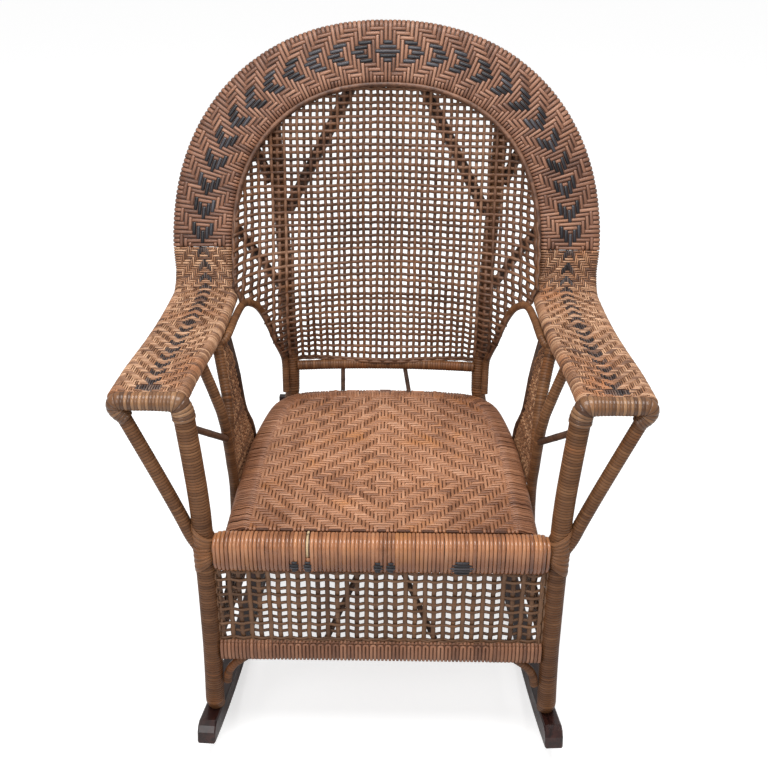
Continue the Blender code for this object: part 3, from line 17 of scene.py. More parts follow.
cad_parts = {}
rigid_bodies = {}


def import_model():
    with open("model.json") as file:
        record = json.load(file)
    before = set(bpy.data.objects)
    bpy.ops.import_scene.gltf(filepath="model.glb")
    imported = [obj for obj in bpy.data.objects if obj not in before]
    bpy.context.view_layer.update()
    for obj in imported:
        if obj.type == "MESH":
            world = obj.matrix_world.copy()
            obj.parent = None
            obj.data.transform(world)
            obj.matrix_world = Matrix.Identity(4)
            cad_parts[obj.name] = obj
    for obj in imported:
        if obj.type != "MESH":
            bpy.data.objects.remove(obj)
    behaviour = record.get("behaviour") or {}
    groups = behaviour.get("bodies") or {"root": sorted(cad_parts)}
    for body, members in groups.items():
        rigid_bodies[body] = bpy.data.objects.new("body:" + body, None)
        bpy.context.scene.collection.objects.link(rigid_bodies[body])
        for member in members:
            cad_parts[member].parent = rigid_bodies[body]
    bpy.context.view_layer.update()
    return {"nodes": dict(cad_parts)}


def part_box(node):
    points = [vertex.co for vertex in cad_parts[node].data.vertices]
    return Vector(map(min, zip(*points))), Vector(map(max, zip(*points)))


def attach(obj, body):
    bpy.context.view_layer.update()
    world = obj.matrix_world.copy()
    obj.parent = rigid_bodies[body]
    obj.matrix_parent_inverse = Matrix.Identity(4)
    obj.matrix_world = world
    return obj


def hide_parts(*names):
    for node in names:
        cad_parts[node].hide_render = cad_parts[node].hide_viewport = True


for leftover in list(bpy.data.objects):
    bpy.data.objects.remove(leftover)
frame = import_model()
chance = np.random.default_rng(7)
print("frame nodes:", len(frame["nodes"]))

# %% [markdown]
# ## Tones of old cane
# Old cane is warm tan where hands polish it; the dark brown in the grooves between strands is
# painted shade. Each strand has its own tone, because the pieces come from different canes. A
# shader group makes that tone from the strand's number, adds long fibres, and darkens the sides
# of the strand with painted shade. It is built once and every cane finish uses it with its own
# colours.

# %% Helpers for shader nodes


def new_group(name, inputs, outputs):
    """A shader group: its tree, the sockets it is given and the sockets it fills."""
    group = bpy.data.node_groups.new(name, "ShaderNodeTree")
    for way, sockets in (("INPUT", inputs), ("OUTPUT", outputs)):
        for label, kind in sockets.items():
            group.interface.new_socket(name=label, in_out=way, socket_type="NodeSocket" + kind)
    return group, group.nodes.new("NodeGroupInput").outputs, group.nodes.new("NodeGroupOutput").inputs


def new_material(name):
    """A material with its tree, its shader and its object coordinates."""
    material = bpy.data.materials.new(name)
    material.use_nodes = True
    tree = material.node_tree
    return material, tree, tree.nodes["Principled BSDF"], add_node(tree, "TexCoord", {}).outputs["Object"]


def set_inputs(tree, node, inputs):
    """Give each input its value, or link it to the socket it is given."""
    for place, value in inputs.items():
        if isinstance(value, bpy.types.NodeSocket):
            tree.links.new(value, node.inputs[place])
        elif node.inputs[place].type == "RGBA":
            node.inputs[place].default_value = (*value, 1.0)
        else:
            node.inputs[place].default_value = value


def add_node(tree, kind, inputs, **settings):
    """A new node with its settings and its inputs."""
    node = tree.nodes.new("ShaderNode" + kind)
    for name, value in settings.items():
        setattr(node, name, value)
    set_inputs(tree, node, inputs)
    return node


def math_node(tree, operation, first, second=0.0, clamp=False):
    """One Math node; each value is a socket or a number."""
    return add_node(tree, "Math", {0: first, 1: second}, operation=operation, use_clamp=clamp).outputs[0]


def mix_colour(tree, factor, first, second, blend="MIX"):
    """One colour Mix node; colours and factor are sockets or values."""
    return add_node(tree, "Mix", {0: factor, 6: first, 7: second}, data_type="RGBA",
                    blend_type=blend).outputs[2]


def range_node(tree, value, low, high, out_low=0.0, out_high=1.0):
    """Rescale a value smoothly from one range to another."""
    return add_node(tree, "MapRange", {"Value": value, "From Min": low, "From Max": high, "To Min": out_low,
                                       "To Max": out_high}, interpolation_type="SMOOTHSTEP").outputs["Result"]


def noise_node(tree, vector, scale, detail=3.0, roughness=0.55):
    """A noise on the given coordinates."""
    return add_node(tree, "TexNoise", {"Vector": vector, "Scale": scale, "Detail": detail,
                                       "Roughness": roughness}).outputs["Fac"]


def add_relief(tree, shader, height, strength, distance):
    """A shallow relief on the shader's normal."""
    relief = add_node(tree, "Bump", {"Strength": strength, "Distance": distance, "Height": height})
    set_inputs(tree, shader, {"Normal": relief.outputs["Normal"]})

# %% Group: the tone of one strand, with painted shade on its sides

WIDE_BLOTCHES, SMALL_PATCHES, GRIME = 9.0, 15.0, 34.0
FIBRES_ACROSS = 9.0


def build_strand_group():
    """Tone, painted side shade and fibre height from the strand map and the place on the chair."""
    inputs = {"Strand map": "Vector", "Object place": "Vector"}
    inputs.update(dict.fromkeys(("Dark", "Middle", "Light", "Patch"), "Color"))
    inputs.update(dict.fromkeys(("Patch share", "Side start", "Fibre length", "Variety"), "Float"))
    tree, given, result = new_group("strand_tone", inputs,
                                    {"Colour": "Color", "Sheen mask": "Float", "Height": "Float"})
    place = given["Object place"]
    split = add_node(tree, "SeparateXYZ", {0: given["Strand map"]}).outputs
    number = math_node(tree, "FLOOR", split[1])
    across = math_node(tree, "FRACT", split[1])
    random = add_node(tree, "TexWhiteNoise", {"W": number}, noise_dimensions="1D").outputs["Value"]
    fibre_place = add_node(tree, "CombineXYZ", {
        0: math_node(tree, "MULTIPLY", split[0], given["Fibre length"]),
        1: math_node(tree, "MULTIPLY", across, FIBRES_ACROSS),
        2: math_node(tree, "MULTIPLY", number, 3.7)}).outputs[0]
    fibre = noise_node(tree, fibre_place, 1.0, 4.0, 0.6)
    wide = noise_node(tree, place, WIDE_BLOTCHES, 3.0, 0.6)
    grime = noise_node(tree, place, GRIME, 4.0, 0.65)
    tone = math_node(tree, "MULTIPLY", math_node(tree, "SUBTRACT", random, 0.27), given["Variety"])
    tone = math_node(tree, "ADD", tone, math_node(tree, "MULTIPLY", wide, 0.55))
    tone = math_node(tree, "ADD", tone, math_node(tree, "MULTIPLY", fibre, 0.35))
    colour = mix_colour(tree, range_node(tree, tone, 0.15, 0.58), given["Dark"], given["Middle"])
    colour = mix_colour(tree, range_node(tree, tone, 0.52, 1.0), colour, given["Light"])
    patch = range_node(tree, noise_node(tree, place, SMALL_PATCHES, 2.0), 0.52, 0.72)
    patch = math_node(tree, "MULTIPLY", patch, given["Patch share"])
    colour = mix_colour(tree, math_node(tree, "MULTIPLY", patch, random), colour, given["Patch"])
    # Painted shade: each strand darkens from Side start towards its two sides, where a round reed turns from
    # the light.
    side = math_node(tree, "ABSOLUTE", math_node(tree, "SUBTRACT", across, 0.5))
    shade = math_node(tree, "MULTIPLY", range_node(tree, side, given["Side start"], 0.5), 0.8)
    # The painted side shade and the random grime are added up and darken the colour towards Dark.
    dark = math_node(tree, "ADD", shade, range_node(tree, grime, 0.45, 0.75, 0.0, 0.35), clamp=True)
    height = math_node(tree, "ADD", math_node(tree, "MULTIPLY", fibre, 0.6),
                       math_node(tree, "MULTIPLY", grime, 0.4))
    tree.links.new(mix_colour(tree, dark, colour, given["Dark"]), result["Colour"])
    tree.links.new(math_node(tree, "SUBTRACT", 1.0, dark), result["Sheen mask"])
    tree.links.new(height, result["Height"])
    return tree

# %% Group: painted shade that grows away from a centre

PAINTED_SHADE_INPUTS = {"Centre": "Vector", "Scale": "Vector", "Inner": "Float", "Outer": "Float", "Amount": "Float"}
PAINTED_SHADE_BLOTCHES = 7.0


def build_painted_shade_group():
    """How much painted shade a place gets, growing with its distance from a centre."""
    tree, given, result = new_group("painted_place_shade", {"Object place": "Vector", **PAINTED_SHADE_INPUTS},
                                    {"Factor": "Float"})
    place = given["Object place"]
    away = add_node(tree, "VectorMath", {0: place, 1: given["Centre"]}, operation="SUBTRACT")
    scaled = add_node(tree, "VectorMath", {0: away.outputs[0], 1: given["Scale"]}, operation="MULTIPLY")
    length = add_node(tree, "VectorMath", {0: scaled.outputs[0]}, operation="LENGTH").outputs["Value"]
    blotch = noise_node(tree, place, PAINTED_SHADE_BLOTCHES, 2.0)
    reach = math_node(tree, "MULTIPLY", length, math_node(tree, "ADD", blotch, 0.5))
    share = range_node(tree, reach, given["Inner"], given["Outer"])
    tree.links.new(math_node(tree, "MULTIPLY", share, given["Amount"]), result["Factor"])
    return tree


strand_tone = build_strand_group()
painted_place_shade = build_painted_shade_group()
print("shader groups:", len(bpy.data.node_groups))

# %% Cane finishes

DULL = 0.62
CANE_RELIEF, CANE_RELIEF_DEPTH = 0.35, 0.0006


def cane_finish(name, dark, middle, light, patch, patch_share=0.4, side_start=0.22, fibre=1.0,
                gloss=0.42, variety=0.5, coat=0.0, shine=0.4, shade=None):
    """A cane material: strand tones on the strand map, painted shade on the sides of each strand and gloss on
    its crown.

    The shade is (centre, scale, inner, outer, amount): painted shade darkens the tone away from the centre.
    """
    material, tree, shader, place = new_material(name)
    strand_map = add_node(tree, "UVMap", {}, uv_map="strand_map").outputs[0]
    tone = add_node(tree, "Group", {
        "Strand map": strand_map, "Object place": place, "Dark": dark, "Middle": middle, "Light": light,
        "Patch": patch, "Patch share": patch_share, "Side start": side_start, "Fibre length": fibre,
        "Variety": variety}, node_tree=strand_tone).outputs
    colour = tone["Colour"]
    if shade:
        shaded = add_node(tree, "Group", {"Object place": place, **dict(zip(PAINTED_SHADE_INPUTS, shade))},
                          node_tree=painted_place_shade)
        colour = mix_colour(tree, shaded.outputs["Factor"], colour, PAINTED_SHADE_TINT, "MULTIPLY")
    set_inputs(tree, shader, {
        "Base Color": colour, "Specular IOR Level": shine, "Coat Weight": coat, "Coat Roughness": 0.2,
        "Roughness": range_node(tree, tone["Sheen mask"], 0.2, 1.0, DULL, gloss)})
    add_relief(tree, shader, tone["Height"], CANE_RELIEF, CANE_RELIEF_DEPTH)
    return material


# The colour that painted shade multiplies into a cane's tone.
PAINTED_SHADE_TINT = (0.46, 0.38, 0.33)
rim_reed = cane_finish("rim_reed", (0.055, 0.021, 0.012), (0.25, 0.117, 0.070),
                       (0.44, 0.24, 0.155), (0.36, 0.15, 0.065), 0.35, 0.26, variety=0.36)
arm_reed = cane_finish("arm_reed", (0.070, 0.028, 0.015), (0.31, 0.150, 0.076),
                       (0.62, 0.37, 0.22), (0.40, 0.14, 0.045), 0.8, 0.26, variety=0.6)
# Painted shade on the seat: its tone darkens away from a point near its front middle, towards its sides and
# back.
seat_reed = cane_finish("seat_reed", (0.125, 0.046, 0.022), (0.43, 0.200, 0.104),
                        (0.68, 0.39, 0.245), (0.48, 0.19, 0.055), 0.8, 0.30, variety=0.34,
                        shade=((0.0, -0.10, 0.0), (1.0, 1.0, 0.0), 0.12, 0.27, 0.75))
# Painted shadow on the roll: its tone darkens away from the height of its top, so the turned-under part is
# dark.
roll_reed = cane_finish("roll_reed", (0.110, 0.038, 0.018), (0.42, 0.175, 0.078),
                        (0.66, 0.35, 0.19), (0.52, 0.22, 0.058), 0.8, 0.38, gloss=0.24, variety=0.3,
                        coat=0.5, shade=((0.0, 0.0, 0.395), (0.0, 0.0, 1.0), 0.004, 0.030, 0.80))
rail_cane = cane_finish("rail_cane", (0.090, 0.036, 0.020), (0.27, 0.118, 0.062),
                        (0.50, 0.26, 0.155), (0.32, 0.12, 0.045), 0.5, 0.34, gloss=0.4, variety=0.3)
# Painted shade on the poles: their tone darkens away from 0.75 m up, most of all low down below the seat.
POLE_PAINTED_SHADE = ((0.0, 0.0, 0.75), (0.0, 0.0, 1.0), 0.18, 0.46, 0.55)
pole_cane = cane_finish("pole_cane", (0.060, 0.024, 0.010), (0.180, 0.080, 0.034),
                        (0.36, 0.182, 0.084), (0.26, 0.085, 0.022), 0.6, 0.32, 6.0, gloss=0.36, variety=0.30,
                        shine=0.22, shade=POLE_PAINTED_SHADE)
arm_cane = cane_finish("arm_cane", (0.050, 0.020, 0.010), (0.170, 0.080, 0.036),
                       (0.40, 0.22, 0.11), (0.26, 0.10, 0.035), 0.6, 0.34, 6.0, gloss=0.26, variety=0.5,
                       coat=0.3, shine=0.3)
net_reed = cane_finish("net_reed", (0.034, 0.014, 0.008), (0.158, 0.074, 0.040),
                       (0.33, 0.182, 0.110), (0.27, 0.11, 0.038), 0.45, variety=0.35, shine=0.3)
apron_reed = cane_finish("apron_reed", (0.040, 0.017, 0.008), (0.150, 0.073, 0.036),
                         (0.30, 0.165, 0.092), (0.24, 0.10, 0.032), 0.45, variety=0.35, shine=0.3)
panel_reed = cane_finish("panel_reed", (0.060, 0.024, 0.012), (0.29, 0.135, 0.062),
                         (0.62, 0.36, 0.20), (0.40, 0.17, 0.05), 0.5)
# A near black sheet under the band's and the roll's reeds: painted shade in the gaps between strands.
painted_groove_shade = cane_finish("painted_groove_shade", (0.026, 0.010, 0.006), (0.072, 0.029, 0.016),
                            (0.13, 0.058, 0.03), (0.09, 0.038, 0.015), 0.3, 0.45)
# A dark brown sheet under the seat's and the front rail's reeds: painted shade in their gaps.
painted_seat_shade = cane_finish("painted_seat_shade", (0.075, 0.029, 0.015), (0.165, 0.068, 0.034),
                          (0.26, 0.12, 0.062), (0.20, 0.08, 0.03), 0.3, 0.45)
black_reed = cane_finish("black_reed", (0.006, 0.005, 0.006), (0.020, 0.019, 0.023),
                         (0.080, 0.076, 0.086), (0.05, 0.03, 0.025), 0.3, gloss=0.36)
worn_black_reed = cane_finish("worn_black_reed", (0.010, 0.008, 0.008), (0.045, 0.034, 0.034),
                              (0.22, 0.145, 0.11), (0.20, 0.09, 0.05), 0.6, gloss=0.4)
bare_core = cane_finish("bare_core", (0.40, 0.26, 0.13), (0.66, 0.50, 0.30), (0.84, 0.70, 0.48),
                        (0.60, 0.40, 0.2), 0.3, gloss=0.45)
post_cane_warm = cane_finish("post_cane_warm", (0.070, 0.028, 0.012), (0.20, 0.088, 0.038),
                             (0.36, 0.180, 0.086), (0.28, 0.10, 0.028), 0.6, 0.38, gloss=0.36, variety=0.25,
                             shine=0.25)
print("cane finishes:", strand_tone.users)

# %% [markdown]
# ## Reading a pole's line from the frame
# Each pole in the frame is a ring of points swept along a line. Its flat end gives the first
# ring, and each next ring is one edge further on. The middle of each ring is a point of the
# pole's centre line, and the ring's size is the pole's radius. Reading the line keeps the
# winding exactly on the pole, which typed points would not.

# %% Lines and rings of the frame's poles

POST_SLICES = 24


def merged_copy(node):
    """A bmesh of a frame node with its loose triangles merged."""
    shape = bmesh.new()
    shape.from_mesh(bpy.data.objects[node].data)
    bmesh.ops.remove_doubles(shape, verts=shape.verts, dist=1e-5)
    return shape


def flat_end(shape):
    """The points of the flat end face that is closest to a full round."""
    best = (0.0, None)
    seen = set()
    for face in shape.faces:
        if face in seen:
            continue
        seen.add(face)
        group = [face]
        for one in group:
            for edge in one.edges:
                for near in edge.link_faces:
                    if near not in seen and near.normal.angle(face.normal, 9.0) < 0.004:
                        seen.add(near)
                        group.append(near)
        points = list({corner for one in group for corner in one.verts})
        if len(points) < 5:
            continue
        reach = max((a.co - b.co).length for a in points for b in points)
        round_share = sum(one.calc_area() for one in group) / reach ** 2
        if round_share > best[0]:
            best = (round_share, points)
    return best[1]


def pole_line(node):
    """Centre points and radii of a swept pole, from one end to the other."""
    shape = merged_copy(node)
    ring = flat_end(shape)
    done = set(ring)
    centres, sizes = [], []
    while ring:
        places = np.array([corner.co[:] for corner in ring])
        centres.append(places.mean(axis=0))
        sizes.append(np.median(np.linalg.norm(places - centres[-1], axis=1)))
        after = {edge.other_vert(corner) for corner in ring for edge in corner.link_edges}
        ring = [corner for corner in after if corner not in done]
        done.update(ring)
    shape.free()
    sizes[0], sizes[-1] = sizes[len(sizes) // 2], sizes[len(sizes) // 2]
    return np.array(centres), np.array(sizes)


def sliced_line(node, axis, count):
    """Centre points and radii of a pole, from flat slices square to one axis."""
    shape = merged_copy(node)
    low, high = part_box(node)
    centres, sizes = [], []
    for level in np.linspace(low[axis] + 0.001, high[axis] - 0.001, count):
        cuts = []
        for edge in shape.edges:
            a, b = edge.verts[0].co, edge.verts[1].co
            if (a[axis] - level) * (b[axis] - level) < 0.0:
                cuts.append(a.lerp(b, (level - a[axis]) / (b[axis] - a[axis])))
        places = np.array(cuts)
        centres.append((places.min(axis=0) + places.max(axis=0)) / 2.0)
        spread = places.max(axis=0) - places.min(axis=0)
        sizes.append(np.sort(spread)[1:].mean() / 2.0)
    shape.free()
    return np.array(centres), np.array(sizes)


def points_at(places, far, points):
    """The points of a line where its measure far has the given values."""
    return np.stack([np.interp(places, far, points[:, k]) for k in range(3)], axis=-1)


def post_at(node, level):
    """The middle and the radius of an upright pole at one height."""
    line, sizes = sliced_line(node, 2, POST_SLICES)
    return points_at(level, line[:, 2], line), float(np.median(sizes))


def through_points(points, steps):
    """A smooth curve through the points, with steps to each span."""
    knots = np.vstack([2.0 * points[0] - points[1], points, 2.0 * points[-1] - points[-2]])
    t = np.linspace(0.0, 1.0, steps, endpoint=False)[:, None]
    parts = []
    for a, b, c, d in zip(knots, knots[1:], knots[2:], knots[3:]):
        parts.append(0.5 * (2.0 * b + (c - a) * t + (2.0 * a - 5.0 * b + 4.0 * c - d) * t ** 2
                            + (3.0 * b - a - 3.0 * c + d) * t ** 3))
    return np.vstack(parts + [points[-1:]])


def travelled(points):
    """The distance along a line at each of its points."""
    return np.concatenate([[0.0], np.cumsum(np.linalg.norm(np.diff(points, axis=0), axis=1))])


def even_line(points, step, values=None):
    """The same line with points an even step apart, and values carried along."""
    far = travelled(points)
    places = np.linspace(0.0, far[-1], max(3, int(round(far[-1] / step)) + 1))
    line = points_at(places, far, points)
    if values is None:
        return line
    return line, np.interp(places, far, values)

# %% [markdown]
# ## Winding cane round a pole
# A long flat strip of split cane is wound tightly round each pole. It could be one long
# spiral, but a tight winding reads as a stack of turns with a groove between each two. So one
# turn is modelled from a circle, extruded up over its crown, and an array stacks it. A curve
# then bends the stack along the pole's line, and the curve's radius fits it to the pole.

# %% One turn of wound cane

TURN_SIDES = 16
TURN_PROFILE = ((0.10, 1.058), (0.34, 1.082), (0.68, 1.082), (0.90, 1.058), (1.0, 1.000))


def only(piece):
    """Select one object and make it active."""
    bpy.ops.object.select_all(action="DESELECT")
    piece.select_set(True)
    bpy.context.view_layer.objects.active = piece


def write_strand_map(mesh, values):
    """Store the strand map on the mesh, one pair of values for each corner point."""
    layer = mesh.uv_layers.get("strand_map") or mesh.uv_layers.new(name="strand_map")
    corner_points = np.empty(len(mesh.loops), dtype=np.int32)
    mesh.loops.foreach_get("vertex_index", corner_points)
    layer.data.foreach_set("uv", np.asarray(values, dtype=np.float32)[corner_points].ravel())


def model_unit(name, sides, profile, cuts=0):
    """A unit of height one and radius about one, open above and below, and its strand map.

    The profile gives (height, radius) from the first edge upwards; the last one is also the base.
    The cuts divide each of its faces.
    """
    bpy.ops.object.select_all(action="DESELECT")
    height, size = 0.0, profile[-1][1]
    bpy.ops.mesh.primitive_circle_add(vertices=sides, radius=size, location=(0.0, 0.0, 0.0))
    unit = bpy.context.object
    bpy.ops.object.mode_set(mode="EDIT")
    bpy.ops.mesh.select_all(action="SELECT")
    for next_height, next_size in profile:
        bpy.ops.mesh.extrude_region_move(TRANSFORM_OT_translate={"value": (0.0, 0.0, next_height - height)})
        factor = next_size / size
        bpy.ops.transform.resize(value=(factor, factor, 1.0), center_override=(0.0, 0.0, 0.0))
        height, size = next_height, next_size
    bpy.ops.mesh.select_all(action="SELECT")
    if cuts:
        bpy.ops.mesh.subdivide(number_cuts=cuts)
    bpy.ops.mesh.normals_make_consistent(inside=False)
    bpy.ops.object.mode_set(mode="OBJECT")
    unit.name = name
    layer = unit.data.uv_layers.get("UVMap") or unit.data.uv_layers.new(name="UVMap")
    layer.name = "strand_map"
    return unit, layer


def model_turn():
    """One turn of cane; its strand map counts once round the pole."""
    turn, layer = model_unit("one_turn", TURN_SIDES, TURN_PROFILE)
    mesh = turn.data
    for face in mesh.polygons:
        angles = []
        for corner in face.loop_indices:
            point = mesh.vertices[mesh.loops[corner].vertex_index].co
            angles.append((math.atan2(point.y, point.x) / (2.0 * math.pi)) % 1.0)
        wraps = max(angles) - min(angles) > 0.5
        for corner, angle in zip(face.loop_indices, angles):
            point = mesh.vertices[mesh.loops[corner].vertex_index].co
            around = angle + 1.0 if wraps and angle < 0.5 else angle
            layer.data[corner].uv = (around, 0.02 + 0.96 * point.z)
    return turn


def set_aside(piece):
    """Take a model piece out of the scene and keep it for copying."""
    for collection in list(piece.users_collection):
        collection.objects.unlink(piece)


one_turn = model_turn()
set_aside(one_turn)
print("faces in one turn:", len(one_turn.data.polygons))

# %% Winding along a line


def guide_curve(name, line, sizes):
    """A poly curve through the line whose radius is the pole's radius."""
    data = bpy.data.curves.new(name, "CURVE")
    data.dimensions = "3D"
    data.twist_mode = "MINIMUM"
    spline = data.splines.new("POLY")
    spline.points.add(len(line) - 1)
    for point, place, size in zip(spline.points, line, sizes):
        point.co = (*place, 1.0)
        point.radius = size
    guide = bpy.data.objects.new(name, data)
    bpy.context.scene.collection.objects.link(guide)
    return guide


def extended(line, start, end):
    """The line made longer at both ends, in the directions that it has there."""
    first = (line[0] - line[1]) / np.linalg.norm(line[0] - line[1])
    last = (line[-1] - line[-2]) / np.linalg.norm(line[-1] - line[-2])
    result = line.copy()
    result[0] = result[0] + first * start
    result[-1] = result[-1] + last * end
    return result


def apply_all(piece):
    """Apply the piece's modifiers in their order."""
    only(piece)
    for modifier in list(piece.modifiers):
        bpy.ops.object.modifier_apply(modifier=modifier.name)


def stack_along(name, unit, line, sizes, pitch):
    """Copies of a unit of height one stacked along a line and capped at both ends."""
    length = travelled(line)[-1]
    count = max(2, int(round(length / pitch)))
    piece = unit.copy()
    piece.data = unit.data.copy()
    piece.name = name
    bpy.context.scene.collection.objects.link(piece)
    piece.data.transform(Matrix.Diagonal((1.0, 1.0, length / count, 1.0)))
    rows = piece.modifiers.new("rows", "ARRAY")
    rows.use_relative_offset = False
    rows.use_constant_offset = True
    rows.constant_offset_displace = (0.0, 0.0, length / count)
    rows.count = count
    rows.use_merge_vertices = True
    rows.merge_threshold = 0.00002
    rows.offset_v = 1.0
    guide = guide_curve(name + "_guide", line, sizes)
    bend = piece.modifiers.new("bend", "CURVE")
    bend.object = guide
    bend.deform_axis = "POS_Z"
    apply_all(piece)
    bpy.data.objects.remove(guide)
    bpy.ops.object.mode_set(mode="EDIT")
    bpy.ops.mesh.select_all(action="SELECT")
    bpy.ops.mesh.fill_holes(sides=0)
    bpy.ops.mesh.normals_make_consistent(inside=False)
    bpy.ops.object.mode_set(mode="OBJECT")
    bpy.ops.object.shade_smooth()
    return piece


def dress(piece, finishes, slot, *nodes):
    """Give a piece its finishes, attach it to the frame's root body and hide the frame nodes it stands for.
    """
    for finish in finishes:
        piece.data.materials.append(finish)
    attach(piece, "root")
    if nodes:
        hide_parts(*nodes)
    return piece


def triangles(piece):
    """How many triangles the faces of a piece make."""
    return sum(len(face.vertices) - 2 for face in piece.data.polygons)


WIND_STEP = 0.004
CROWN = 1.07


def wind(node, line, sizes, finish, pitch=0.0046, start=0.003, end=0.003):
    """Wind cane round a frame pole and let it stand for the pole."""
    line, sizes = even_line(extended(line, start, end), WIND_STEP, sizes)
    piece = stack_along("wound_" + node, one_turn, line, sizes / CROWN, pitch)
    return dress(piece, [finish], "wrapped_cane", node)

# %% Wind the posts, rails, braces and brackets

BRACE_FOOT_DROP = 0.028


def wind_post(node):
    """Wind an upright post, whose radius may change a little on its way."""
    line, sizes = sliced_line(node, 2, POST_SLICES)
    steady = np.median(sizes)
    return wind(node, line, np.clip(sizes, steady * 0.9, steady * 1.04), pole_cane, start=0.0, end=0.0)


def wind_pole(node):
    """Wind a pole that has the same radius all the way."""
    line, sizes = pole_line(node)
    return wind(node, line, np.full(len(line), np.median(sizes)), pole_cane)


def wind_brace(side):
    """Wind an outer arm brace, led down into the middle of the front post."""
    line, sizes = pole_line("outer_arm_brace_" + side)
    line = line[np.argsort(line[:, 2])]
    foot, _ = post_at("front_post_" + side, line[0][2] - BRACE_FOOT_DROP)
    line = through_points(np.vstack([foot, line]), 4)
    return wind("outer_arm_brace_" + side, line, np.full(len(line), np.median(sizes)), pole_cane)


wound = []
for side in ("left", "right"):
    wound += [wind_post(node + side) for node in ("front_post_", "rear_post_")]
    wound += [wind_pole(node + side) for node in ("lower_rail_", "mid_arm_post_", "arm_post_branch_",
                                                  "corner_bracket_")]
    wound.append(wind_brace(side))
wound += [wind_pole(node) for node in ("lower_rail_rear", "back_bottom_rail", "front_seat_rail", "seat_hoop")]
print("poles wound:", len(wound))

# %% [markdown]
# ## The arm fronts
# The pole across the front of an arm turns down at both ends, over the outer brace and over
# the front post, and one winding of wide, polished cane hides both joints. The frame's bar is
# straight, so its line is led down into the brace and the post through two rounded corners.

# %% Bend and wind the two arm fronts

CORNER_DROP = 0.0135
CORNER_SIZES = (1.24, 1.20, 1.12, 1.04, 0.98, 1.00, 1.04, 0.93, 0.84)
CORNER_STEPS = 6
ARM_FRONT_PITCH = 0.0047


def wind_arm_front(side):
    """One wound pole from the outer brace, across the arm's front, into the front post."""
    sign = 1.0 if side == "right" else -1.0
    bar, bar_sizes = pole_line("arm_front_bar_" + side)
    post, _ = sliced_line("front_post_" + side, 2, POST_SLICES)
    brace, _ = pole_line("outer_arm_brace_" + side)
    brace = brace[np.argsort(brace[:, 2])]
    level, depth, size = bar[:, 2].mean(), bar[:, 1].mean(), float(np.median(bar_sizes))
    inner = abs(post[-1][0])
    outer = np.abs(bar[:, 0]).max() - size
    lower = np.abs(brace[-1] - (brace[-1] - brace[-2]) * 0.25)
    places = ((inner - 0.0015, level - CORNER_DROP - 0.012), (inner, level - CORNER_DROP),
              (inner + 0.005, level - 0.0020), (inner + 0.019, level), ((inner + outer) / 2.0, level),
              (outer - 0.011, level), (outer - 0.0005, level - 0.0022),
              (outer - 0.0005, level - CORNER_DROP), (lower[0], level - CORNER_DROP - 0.013))
    line = through_points(np.array([(sign * x, depth, z) for x, z in places]), CORNER_STEPS)
    last = len(CORNER_SIZES) - 1
    sizes = np.interp(np.linspace(0.0, last, last * CORNER_STEPS + 1), np.arange(last + 1), CORNER_SIZES)
    line, sizes = even_line(line, 0.0035, sizes * size)
    return wind("arm_front_bar_" + side, line, sizes, arm_cane, ARM_FRONT_PITCH, 0.0, 0.0)


wound += [wind_arm_front(side) for side in ("left", "right")]
print("poles wound so far:", len(wound))

# %% [markdown]
# ## Bare rattan sticks
# The thin braces, the bent hoop under the seat and the bead along the rim are bare rattan.
# Rattan has a slight swelling where each leaf grew, and a paler ring beside it. One length
# between two swellings is modelled from a circle and stacked in the same way as the winding.

# %% One length of bare rattan

STICK_SIDES = 12
STICK_PROFILE = ((0.035, 1.05), (0.07, 1.0), (0.5, 0.985), (0.96, 1.0), (1.0, 1.04))
STICK_LENGTH = 0.075
BEAD_SHARE = 1.35


def model_stick_length():
    """One length of rattan between two swellings; its strand map runs along it."""
    piece, layer = model_unit("one_stick_length", STICK_SIDES, STICK_PROFILE, 1)
    for corner in piece.data.loops:
        point = piece.data.vertices[corner.vertex_index].co
        layer.data[corner.index].uv = (point.z, 0.5 + 0.2 * math.atan2(point.y, point.x) / math.pi)
    return piece


stick_length = model_stick_length()
set_aside(stick_length)


def stick_finish(name, dark, light, gloss):
    """Bare rattan: long fibres along the stick, darker at each swelling."""
    material, tree, shader, place = new_material(name)
    strand_map = add_node(tree, "UVMap", {}, uv_map="strand_map").outputs[0]
    along = add_node(tree, "SeparateXYZ", {0: strand_map}).outputs[0]
    patches = noise_node(tree, place, 22.0, 4.0, 0.6)
    fine = noise_node(tree, place, 160.0, 3.0, 0.6)
    tone = math_node(tree, "ADD", math_node(tree, "MULTIPLY", patches, 0.7),
                     math_node(tree, "MULTIPLY", fine, 0.3))
    colour = mix_colour(tree, range_node(tree, tone, 0.35, 0.68), dark, light)
    swell = math_node(tree, "ABSOLUTE", math_node(tree, "SUBTRACT", along, 0.5))
    ring = range_node(tree, swell, 0.455, 0.49, 0.0, 0.6)
    set_inputs(tree, shader, {"Base Color": mix_colour(tree, ring, colour, dark),
                              "Roughness": range_node(tree, fine, 0.3, 0.7, gloss, gloss + 0.2)})
    add_relief(tree, shader, fine, 0.25, 0.0005)
    return material


bare_stick = stick_finish("bare_stick", (0.028, 0.013, 0.008), (0.12, 0.058, 0.032), 0.38)
bead_stick = stick_finish("bead_stick", (0.060, 0.026, 0.015), (0.26, 0.125, 0.072), 0.42)


def lay_stick(node, finish, share=1.0):
    """A bare rattan stick that stands for a frame node, in the given share of its radius."""
    line, sizes = pole_line(node)
    line = through_points(line, 3) if len(line) > 3 else line
    sizes = np.full(len(line), np.median(sizes) * share)
    line, sizes = even_line(extended(line, 0.002, 0.002), 0.006, sizes)
    piece = stack_along("rattan_" + node, stick_length, line, sizes, STICK_LENGTH)
    return dress(piece, [finish], "bare_rattan", node)

# %% Lay the bare sticks

